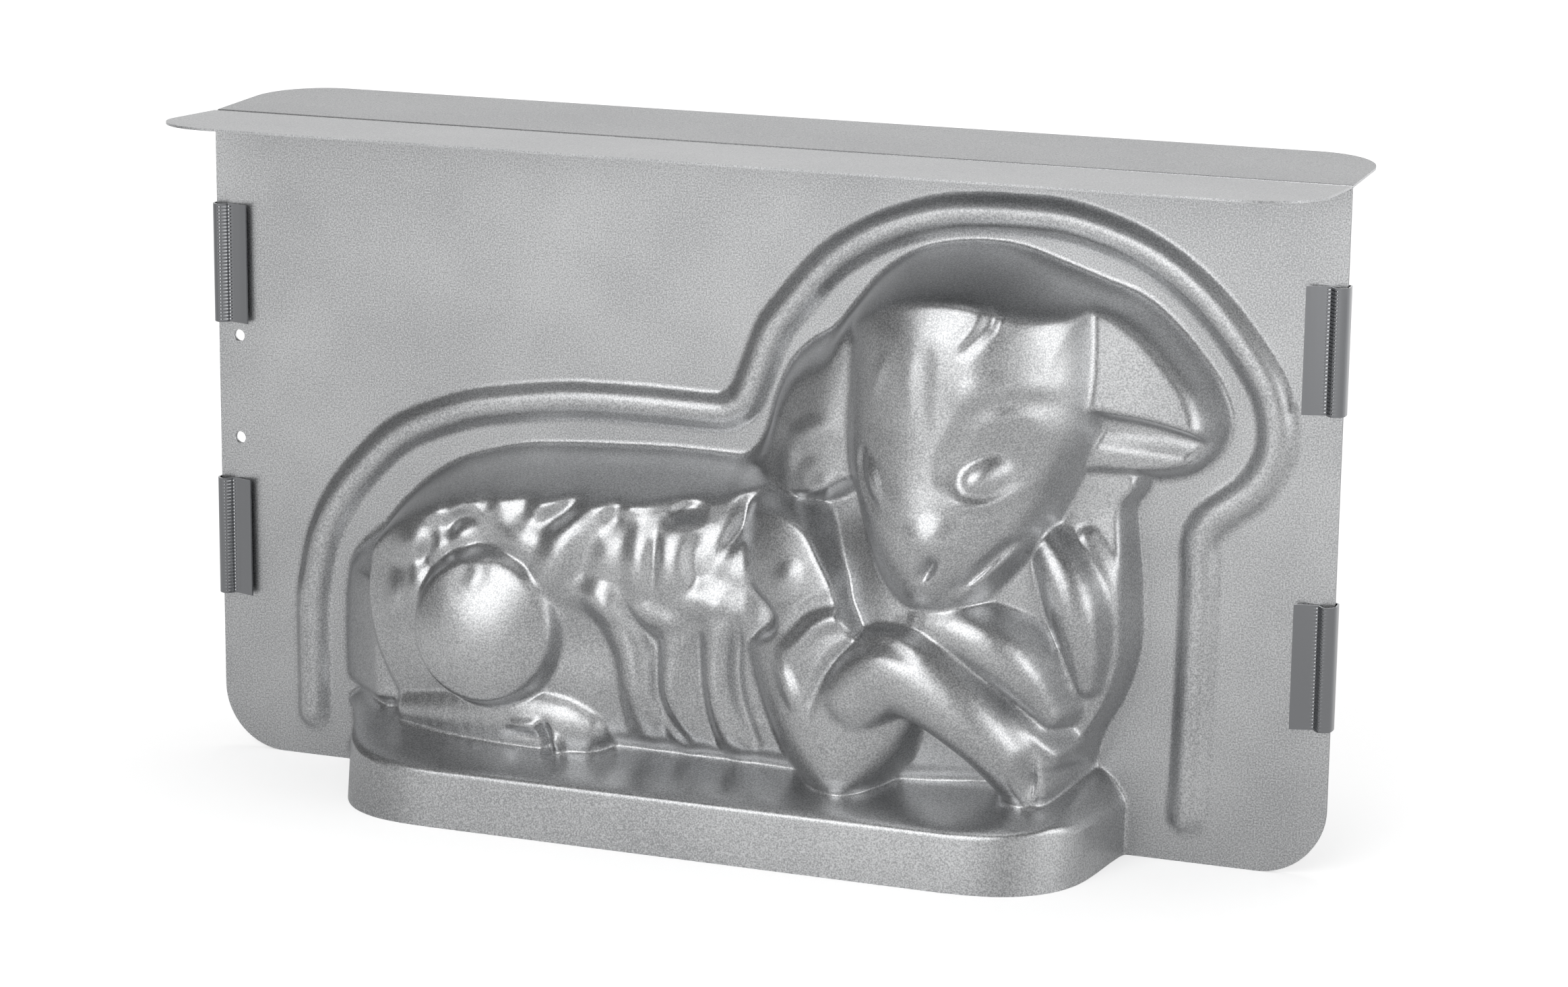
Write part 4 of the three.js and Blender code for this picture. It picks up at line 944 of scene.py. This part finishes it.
FAR_EAR_STROKES = [
    ([(174, 104), (167.5, 101.5), (162.5, 97), (160, 91), (160.5, 86)], 16, 4.4, 0.9),
    ([(162.5, 88), (166.5, 91.5), (170.5, 94.5)], 18, 3.6, 0.5),
    ([(166, 85.5), (170, 87), (174, 90)], 18, 3.6, 0.4),
]
FAR_EAR_LUMPS = [((169, 96, 18), 9, 7, 30, -0.8)]
print("the near ear reaches x", NEAR_EAR_UPPER[:, 0].max().round(1), "mm")

# %% The ears, as blades held inside their outlines
def near_ear(x, z):
    """Two flat faces that fall away to the tip and meet in a crease."""
    upper_top = 22 - 0.26 * np.maximum(x - 238, 0) - 0.26 * np.maximum(z - 112, 0)
    lower_top = 14.5 - 0.17 * np.maximum(x - 240, 0) - 0.10 * (110 - z)
    upper = held_in(x, z, NEAR_EAR_UPPER, upper_top, slope=3.4, foot=14, blend=1.4)
    lower = held_in(x, z, NEAR_EAR_LOWER, lower_top, slope=3.2, foot=9, blend=1.4)
    crease = stroke(x, z, NEAR_EAR_CREASE, depth=15, half_width=6.0, height=3.0,
                    sharp=1.6, taper=0.3)
    return soft_max(upper, lower - crease, 1.6)


def far_ear(x, z):
    """One face that rises towards the head, with a rim along its lower edge."""
    top = 12.5 + 0.75 * np.clip(x - 158, -20, 30) - 0.2 * np.clip(z - 104, 0, 40)
    form = held_in(x, z, FAR_EAR, soft_min(top, 26, 3), slope=2.6, foot=11, blend=1.6)
    return marked(form, x, z, FAR_EAR_STROKES, FAR_EAR_LUMPS)


print("the ears stand", tallest(near_ear), "and", tallest(far_ear), "mm out")

# %% [markdown]
# The whole pressing
#
# The forms are joined from the ones behind to the ones in front, each with its own softness, and
# trimmed by a steep wall along the outline. The back half is the lamb's other side: it has no
# face and no feet, and its head is a rounded back of wool.

# %% Curls on the back of the head
BACK_HEAD = (212, 107)
BACK_HEAD_CROWN = {"half_width": 38, "top": 33, "rise": 18, "drop": 2.4}
BACK_HEAD_CURLS = [
    ((196, 128), 8, 5, 40, 2.4), ((209, 133), 8, 5, 0, 2.4), ((223, 130), 8, 5, -35, 2.4),
    ((191, 114), 8, 5, 80, 2.4), ((204, 117), 7, 5, 40, 2.6), ((217, 118), 7, 5, -20, 2.6),
    ((230, 114), 8, 5, -75, 2.4), ((197, 101), 8, 5, 110, 2.4), ((211, 103), 7, 5, 10, 2.6),
    ((224, 101), 8, 5, 60, 2.4), ((204, 88), 7, 5, 150, 2.4), ((217, 89), 7, 5, 30, 2.4),
    ((232, 99), 6, 4, 80, 2.0), ((188, 97), 7, 4, 100, 2.0), ((210, 77), 6, 4, 0, 1.8),
]
print(len(BACK_HEAD_CURLS), "curls")

# %% Joining the forms
BELOW_FLANGE = -20.0
RIM_ROUNDING = 5.5
CROWN_ROUNDING, CROWN_ROUND_ALONG, CROWN_ROUND_UP = 3, (246, -10), (124, 10)
RUMP_FILLET, RUMP_FILLET_ALONG = 12, (64, -14)
FILLET_UP, LEAST_FILLET = (13, 3), 0.2
GROOVED_ABOVE = 20


def join(forms, x, z):
    """Forms laid one over another, walled in by the outline, and the plinth in front of them."""
    height = np.full(x.shape, BELOW_FLANGE)
    for form, blend in forms:
        height = soft_max(height, form(x, z), blend)
    wall = wall_slope(x, z, DRAFT) * inside(x, z, PARTING, reach=30)
    crown_part = CROWN_ROUNDING * ramp(z, *CROWN_ROUND_UP) * ramp(x, *CROWN_ROUND_ALONG)
    height = soft_min(height, wall, RIM_ROUNDING + crown_part)
    fillet = PLINTH_FILLET + RUMP_FILLET * ramp(x, *RUMP_FILLET_ALONG)
    fillet = fillet * np.maximum(ramp(z, *FILLET_UP), LEAST_FILLET)
    return soft_max(soft_max(height, plinth(x, z), fillet), 0.0, FLANGE_FILLET)


print("the rim is rounded over", RIM_ROUNDING, "mm")

# %% Both sides of the lamb
def woolly_body(x, z):
    return walled(x, z, wool(x, z))


def back_of_head(x, z):
    form = crown(np.hypot(x - BACK_HEAD[0], z - BACK_HEAD[1]), **BACK_HEAD_CROWN)
    return marked(form, x, z, (), [((*place, 0), *shape) for place, *shape in BACK_HEAD_CURLS])


FRONT_FORMS = [(woolly_body, 1.0), (haunch, 0.8), (shoulder, 1.4), (chest, 1.2),
               (foreleg, 0.8), (hind_foot, 1.2), (near_ear, 0.8), (far_ear, 0.8), (head, 1.2)]
BACK_FORMS = [(woolly_body, 1.0), (haunch, 0.8), (shoulder, 0.8), (near_ear, 0.8), (far_ear, 0.8),
              (back_of_head, 2.0)]


def front_lamb(x, z):
    form = join(FRONT_FORMS, x, z)
    groove = stroke(x, z, FORELEG_GROOVE, depth=37, half_width=2.6, height=1.6)
    return form - groove * (form > GROOVED_ABOVE)


def back_lamb(x, z):
    return join(BACK_FORMS, x, z)


print("front of", len(FRONT_FORMS), "forms, back of", len(BACK_FORMS))
print("they stand", tallest(front_lamb), "and", tallest(back_lamb), "mm out")

# %% [markdown]
# The sealing bead
#
# A rounded rib runs round the form, a finger's width outside it. The front half's rib stands
# forward, and the back half has the same rib pushed the same way, so that one nests in the other
# and keeps the batter in. It is drawn here as one rounded line with soft feet.

# %% Bead
BEAD_LINE = smooth_line([
    (26.2, 12), (26.2, 26), (26.2, 42), (27.5, 50), (29.8, 60), (34.5, 70), (42.3, 80),
    (53.2, 90), (68.6, 96.8), (80, 99.7), (100, 102.6), (120, 103.2), (140, 103), (145, 104.5),
    (148.2, 107.3), (151, 114), (155, 124.5), (160, 131.5), (170, 143), (180, 150), (190, 154.5),
    (200, 157.3), (210, 158.3), (220, 158.5), (230, 158), (240, 155.7), (250, 152), (260, 146),
    (270, 137), (280, 124), (283.5, 116), (284.3, 108), (282.5, 101), (278.5, 95), (273, 90.5),
    (268.5, 86.5), (266.3, 81), (266.6, 70), (266, 40), (265.2, 12),
], 6, False)
BEAD_HEIGHT = 3.0
BEAD_HALF_WIDTH = 3.5
BEAD_FOOT = 1.4
BEAD_SHOULDER = 0.9
BACK_BEAD_HEIGHT = 2.5
BACK_BEAD_HALF_WIDTH = BEAD_HALF_WIDTH - 1.0


def bead(x, z, half_width, height):
    """An upright half oval, faded out to nothing at its feet."""
    distance = np.full(x.shape, FAR_OFF)
    part = window(x, z, BEAD_LINE, reach=10)
    distance[part] = nearest_on(x[part], z[part], BEAD_LINE)[0]
    across = np.clip(distance / (half_width + BEAD_FOOT), 0, 1)
    oval = np.sqrt(1 - np.clip(distance / (half_width + BEAD_SHOULDER), 0, 1) ** 2)
    return height * oval * (1 - across ** 6)


print("bead", round(np.hypot(*np.diff(BEAD_LINE, axis=0).T).sum()), "mm long")

# %% [markdown]
# A half of the mould
#
# Each half starts as a grid primitive whose rows and columns lie closer together where the walls
# are steep. Its vertices are moved out to the height over each place. The top edge is bent out
# with a spin to make the foot. The sheet gets its thickness inwards, so that the visible face
# stays exact. Last, a shape like a cookie cutter rounds the corners, and punches make the holes.

# %% Rows and columns
TRIMMED = 1.0
COARSE = 1.2
FINE = 0.5
RUMP_FINE = FINE * 0.8
STEEP_FINE = 0.22


def spread(*stretches):
    """Marks along a line: each stretch has a start, an end and a step, and they follow on."""
    marks = []
    for start, end, step in stretches:
        count = max(1, round((end - start) / step))
        marks += [start + (end - start) * i / count for i in range(count)]
    return np.array(marks + [stretches[-1][1]])


columns = spread((-TRIMMED, 18, COARSE), (18, 60, RUMP_FINE), (60, 240, FINE),
                 (240, 253, STEEP_FINE), (253, 288, FINE),
                 (288, sheet_width + TRIMMED, COARSE))
rows = spread((-TRIMMED, 11, 1.0), (11, 13, 0.5), (13, 22, STEEP_FINE), (22, 164, FINE),
              (164, bend_start_height, COARSE))
print("grid of", len(columns), "columns and", len(rows), "rows")

# %% One half as an open sheet, face outwards
def grid_sheet(name, heights, side):
    bpy.ops.mesh.primitive_grid_add(x_subdivisions=len(columns) - 1, y_subdivisions=len(rows) - 1,
                                    size=2)
    sheet = bpy.context.object
    sheet.name = name
    x, z = np.meshgrid(columns, rows)
    places = np.stack([x + sheet_left, side * (outer_face + heights), z], -1) * MM
    sheet.data.vertices.foreach_set("co", places.astype(np.float32).ravel())
    sheet.data.update()
    return sheet


print("each half starts from", (len(columns) - 1) * (len(rows) - 1), "faces")

# %% Modifiers, thinning and edit mode
def modified(piece, kind, **settings):
    """Adds a modifier, sets it and applies it."""
    modifier = piece.modifiers.new(kind, kind)
    for name, value in settings.items():
        setattr(modifier, name, value)
    bpy.ops.object.modifier_apply(modifier=kind)


def shave(piece, target):
    """Thins out triangles where the face is smooth."""
    triangles = sum(len(face.vertices) - 2 for face in piece.data.polygons)
    modified(piece, "DECIMATE", ratio=min(1, target / triangles))


def edited(piece, kind):
    """Opens a piece for editing, with nothing of it selected."""
    bpy.ops.object.mode_set(mode="EDIT")
    bpy.ops.mesh.select_mode(type=kind)
    bpy.ops.mesh.select_all(action="DESELECT")
    return bmesh.from_edit_mesh(piece.data)


# %% The foot along the top edge
FOOT_TILT = math.atan2(foot_rise, foot_depth - outer_face)
FOOT_BEND_STEPS = 8
SAME_PLACE = 1e-5


def bend_foot(piece, side):
    """Spins the top edge outwards through a quarter turn, then draws it out level."""
    bend_radius = foot_bend_radius - sheet_thickness
    angle = math.pi / 2 - FOOT_TILT
    axis_y = side * (outer_face + bend_radius)
    mesh = edited(piece, "VERT")
    top = max(vertex.co.z for vertex in mesh.verts)
    for vertex in mesh.verts:
        vertex.select = vertex.co.z > top - SAME_PLACE
    mesh.select_flush_mode()
    bmesh.update_edit_mesh(piece.data)
    bpy.ops.mesh.spin(steps=FOOT_BEND_STEPS, angle=angle, axis=(side, 0, 0),
                      center=(0, axis_y * MM, bend_start_height * MM))
    bpy.ops.mesh.extrude_region_move()
    end_y = side * (outer_face + bend_radius - bend_radius * math.sin(FOOT_TILT))
    reach = foot_depth + TRIMMED - abs(end_y)
    bpy.ops.transform.translate(value=(0, side * reach * MM, reach * math.tan(FOOT_TILT) * MM))
    bpy.ops.mesh.select_all(action="DESELECT")
    bpy.ops.object.mode_set(mode="OBJECT")


print("foot tilted up by", round(math.degrees(FOOT_TILT), 1), "degrees")

# %% Tools that cut the sheet
CORNER_SEGMENTS = 16


def cut(piece, tool, operation):
    """Applies a boolean with the tool and then throws the tool away."""
    bpy.context.view_layer.objects.active = piece
    modified(piece, "BOOLEAN", object=tool, operation=operation, solver="MANIFOLD")
    bpy.data.objects.remove(tool)
    bpy.ops.object.select_all(action="DESELECT")
    piece.select_set(True)


def rounded_blank(low, high, axis, radius, picked):
    """A box whose picked edges along one axis are rounded: the cookie cutter."""
    bpy.ops.mesh.primitive_cube_add(size=1)
    blank = bpy.context.object
    middle = (Vector(low) + Vector(high)) / 2
    size = Vector(high) - Vector(low)
    blank.data.transform(Matrix.Translation(middle * MM) @ Matrix.Diagonal((*(size * MM), 1)))
    mesh = edited(blank, "EDGE")
    for edge in mesh.edges:
        along = edge.verts[1].co - edge.verts[0].co
        edge.select = abs(along[axis]) > along.length * 0.9 and picked(edge.verts[0].co / MM)
    bmesh.update_edit_mesh(blank.data)
    bpy.ops.mesh.bevel(offset=radius * MM, segments=CORNER_SEGMENTS, affect="EDGES")
    bpy.ops.object.mode_set(mode="OBJECT")
    return blank


# %% Rounded corners and two holes
CORNER_RADIUS = 17
FOOT_CORNER_RADIUS = 18
BLANK_DEPTH, BLANK_SPLIT, BLANK_TOP = 80, 160, 210
HOLES = [(5.77, 111.8, 1.6), (5.57, 84.5, 1.6)]
HOLE_SIDES, PUNCH_LENGTH = 48, 10


def trim(piece, side):
    """Rounds the sheet's lower corners and the foot's outer corners, and punches the holes."""
    right_edge = sheet_left + sheet_width
    blank = rounded_blank((sheet_left, -BLANK_DEPTH, 0), (right_edge, BLANK_DEPTH, BLANK_SPLIT), 1,
                          CORNER_RADIUS, lambda place: place.z < 1)
    near, far = sorted((-side * BLANK_DEPTH, side * foot_depth))
    foot_blank = rounded_blank((sheet_left, near, BLANK_SPLIT - 1), (right_edge, far, BLANK_TOP), 2,
                               FOOT_CORNER_RADIUS, lambda place: place.y * side > 1)
    cut(blank, foot_blank, "UNION")
    cut(piece, blank, "INTERSECT")
    for x, z, radius in HOLES:
        bpy.ops.mesh.primitive_cylinder_add(vertices=HOLE_SIDES, radius=radius * MM,
                                            depth=PUNCH_LENGTH * MM)
        punch = bpy.context.object
        punch.data.transform(Matrix.Translation(Vector((sheet_left + x, 0, z)) * MM)
                             @ Matrix.Rotation(math.pi / 2, 4, "X"))
        cut(piece, punch, "DIFFERENCE")


print(len(HOLES), "holes,", sheet_thickness, "mm of steel")

# %% The steps that make one half
SHEET_TRIANGLES = 150000
SHEET_SMOOTH = math.radians(50)


def make_half(name, heights, side, finish):
    piece = grid_sheet(name, heights, side)
    if side > 0:
        bpy.ops.object.mode_set(mode="EDIT")
        bpy.ops.mesh.select_all(action="SELECT")
        bpy.ops.mesh.flip_normals()
        bpy.ops.object.mode_set(mode="OBJECT")
    bend_foot(piece, side)
    shave(piece, SHEET_TRIANGLES)
    modified(piece, "SOLIDIFY", thickness=sheet_thickness * MM, offset=-1)
    shave(piece, SHEET_TRIANGLES * 1.25)
    trim(piece, side)
    bpy.ops.object.shade_smooth_by_angle(angle=SHEET_SMOOTH)
    modified(piece, "WEIGHTED_NORMAL", keep_sharp=True)
    piece.data.materials.clear()
    piece.data.materials.append(finish)
    piece.data.polygons.foreach_set("material_index", [0] * len(piece.data.polygons))
    places = [vertex.co / MM for vertex in piece.data.vertices]
    size = [round(max(axis) - min(axis), 2) for axis in zip(*places)]
    print(name, len(piece.data.polygons), "faces,", size, "mm")
    return piece


# %% Draw the sheet over the form, which eases every edge
DRAWN_GRID = 0.5
DRAWN_EASE = 0.7
DRAWN_MARGIN = 4


def drawn(form):
    """The heights of a form at the sheet's grid, eased as thick metal eases over a press tool."""
    marks_x = np.arange(-DRAWN_MARGIN, sheet_width + DRAWN_MARGIN, DRAWN_GRID)
    marks_z = np.arange(-DRAWN_MARGIN, bend_start_height + DRAWN_MARGIN, DRAWN_GRID)
    heights = form(*np.meshgrid(marks_x, marks_z))
    reach = math.ceil(3 * DRAWN_EASE / DRAWN_GRID)
    weights = np.exp(-0.5 * (np.arange(-reach, reach + 1) * DRAWN_GRID / DRAWN_EASE) ** 2)
    for axis in (0, 1):
        heights = sum(share * np.roll(heights, step, axis)
                      for share, step in zip(weights / weights.sum(), range(-reach, reach + 1)))
    along = (columns - marks_x[0]) / DRAWN_GRID
    upward = (rows - marks_z[0]) / DRAWN_GRID
    left, below = along.astype(int), upward.astype(int)
    along, upward = along - left, (upward - below)[:, None]
    lower = heights[below][:, left] * (1 - along) + heights[below][:, left + 1] * along
    upper = heights[below + 1][:, left] * (1 - along) + heights[below + 1][:, left + 1] * along
    return lower * (1 - upward) + upper * upward


print("eased over", DRAWN_EASE, "mm, on a grid of", DRAWN_GRID, "mm")

# %% Press the front half
front_heights = drawn(lambda x, z: front_lamb(x, z) + bead(x, z, BEAD_HALF_WIDTH, BEAD_HEIGHT))
front_half = make_half("front_sheet", front_heights, -1, coat)
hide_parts("front_half")
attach(front_half, "front_half")

# %% The back half, with the bead pushed towards the front half
back_heights = drawn(lambda x, z: back_lamb(x, z) - bead(x, z, BACK_BEAD_HALF_WIDTH,
                                                         BACK_BEAD_HEIGHT))
back_half = make_half("back_sheet", back_heights, 1, coat)
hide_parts("back_half")
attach(back_half, "back_half")

# %% [markdown]
# The clips
#
# Each clip is one strip of spring steel, bent so that its two legs pinch the sheets. It could be
# extruded leg by leg, but a bent strip has no sharp corner, so the bent line is drawn first and
# a grid primitive is laid along it. Fine ribs run across the strip where it grips. One clip is
# made as a pattern, and all four are copies of it, each with a mesh of its own.

# %% The bent line of a clip
CLIP_REACH = 9.5
CLIP_GRIP_INSET = 3.9
CLIP_GAP, CLIP_HALF_WALL = 0.3, 0.25
CLIP_SEAT = outer_face + CLIP_GAP + CLIP_HALF_WALL
CLIP_BULGE = CLIP_SEAT + 1.85
CLIP_SPINE = -0.55
CLIP_LIP = 1.6

front_leg = [
    (CLIP_REACH, CLIP_SEAT + CLIP_LIP),
    ((CLIP_REACH + CLIP_GRIP_INSET) / 2, CLIP_SEAT + CLIP_LIP * 0.42),
    (CLIP_GRIP_INSET, CLIP_SEAT), (CLIP_GRIP_INSET * 0.82, CLIP_SEAT + 0.72),
    (CLIP_GRIP_INSET * 0.52, CLIP_BULGE), (CLIP_GRIP_INSET * 0.2, CLIP_BULGE * 0.93),
    (CLIP_SPINE * 0.6, CLIP_BULGE * 0.6), (CLIP_SPINE, 0),
]
back_leg = [(inward, -away) for inward, away in front_leg[-2::-1]]
clip_line = smooth_line(front_leg + back_leg, steps=12, closed=False)
travelled = np.concatenate([[0], np.cumsum(np.hypot(*np.diff(clip_line, axis=0).T))])
print("a strip", round(travelled[-1], 1), "mm long when flat")

# %% A ribbed strip along the bent line
CLIP_LENGTH = 31.2
CLIP_THICKNESS = 0.45
RIB_PITCH = 0.9
RIB_HEIGHT = 0.12
RIB_INSET = 3.1
RIB_REACH = 1.8
CLIP_STEPS = 90
CLIP_ROWS = 240
CLIP_SMOOTH = math.radians(40)


def make_clip(name):
    bpy.ops.mesh.primitive_grid_add(x_subdivisions=CLIP_ROWS, y_subdivisions=CLIP_STEPS, size=2)
    clip = bpy.context.object
    clip.name = name
    marks = np.linspace(0, travelled[-1], CLIP_STEPS + 1)
    inward, away = [np.interp(marks, travelled, axis)[:, None] for axis in clip_line.T]
    height = np.linspace(-CLIP_LENGTH / 2, CLIP_LENGTH / 2, CLIP_ROWS + 1)[None, :]
    near_grip = np.clip(1 - ((inward - RIB_INSET) / RIB_REACH) ** 2, 0, 1)
    ribs = RIB_HEIGHT * near_grip * (0.5 + 0.5 * np.sin(2 * np.pi * height / RIB_PITCH))
    away = away + ribs * np.sign(away)
    places = np.stack(np.broadcast_arrays(inward, away, height), -1) * MM
    clip.data.vertices.foreach_set("co", places.astype(np.float32).ravel())
    clip.data.update()
    modified(clip, "SOLIDIFY", thickness=CLIP_THICKNESS * MM, offset=0)
    bpy.ops.object.shade_smooth_by_angle(angle=CLIP_SMOOTH)
    clip.data.materials.append(spring)
    return clip


print("about", round(CLIP_LENGTH / RIB_PITCH), "ribs along a clip")

# %% Four clips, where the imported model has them
clip_pattern = make_clip("clip_pattern")
for node in ("left_upper_clip", "left_lower_clip", "right_upper_clip", "right_lower_clip"):
    low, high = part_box(node)
    clip = clip_pattern.copy()
    clip.data = clip_pattern.data.copy()
    clip.name = node + "_strip"
    bpy.context.collection.objects.link(clip)
    on_left = low.x + high.x < 0
    edge = sheet_left if on_left else sheet_left + sheet_width
    turn = Matrix.Rotation(0 if on_left else math.pi, 4, "Z")
    clip.data.transform(Matrix.Translation(Vector((edge * MM, 0, (low.z + high.z) / 2))) @ turn)
    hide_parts(node)
    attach(clip, node)
    print(clip.name, len(clip.data.polygons), "faces")
bpy.data.objects.remove(clip_pattern)
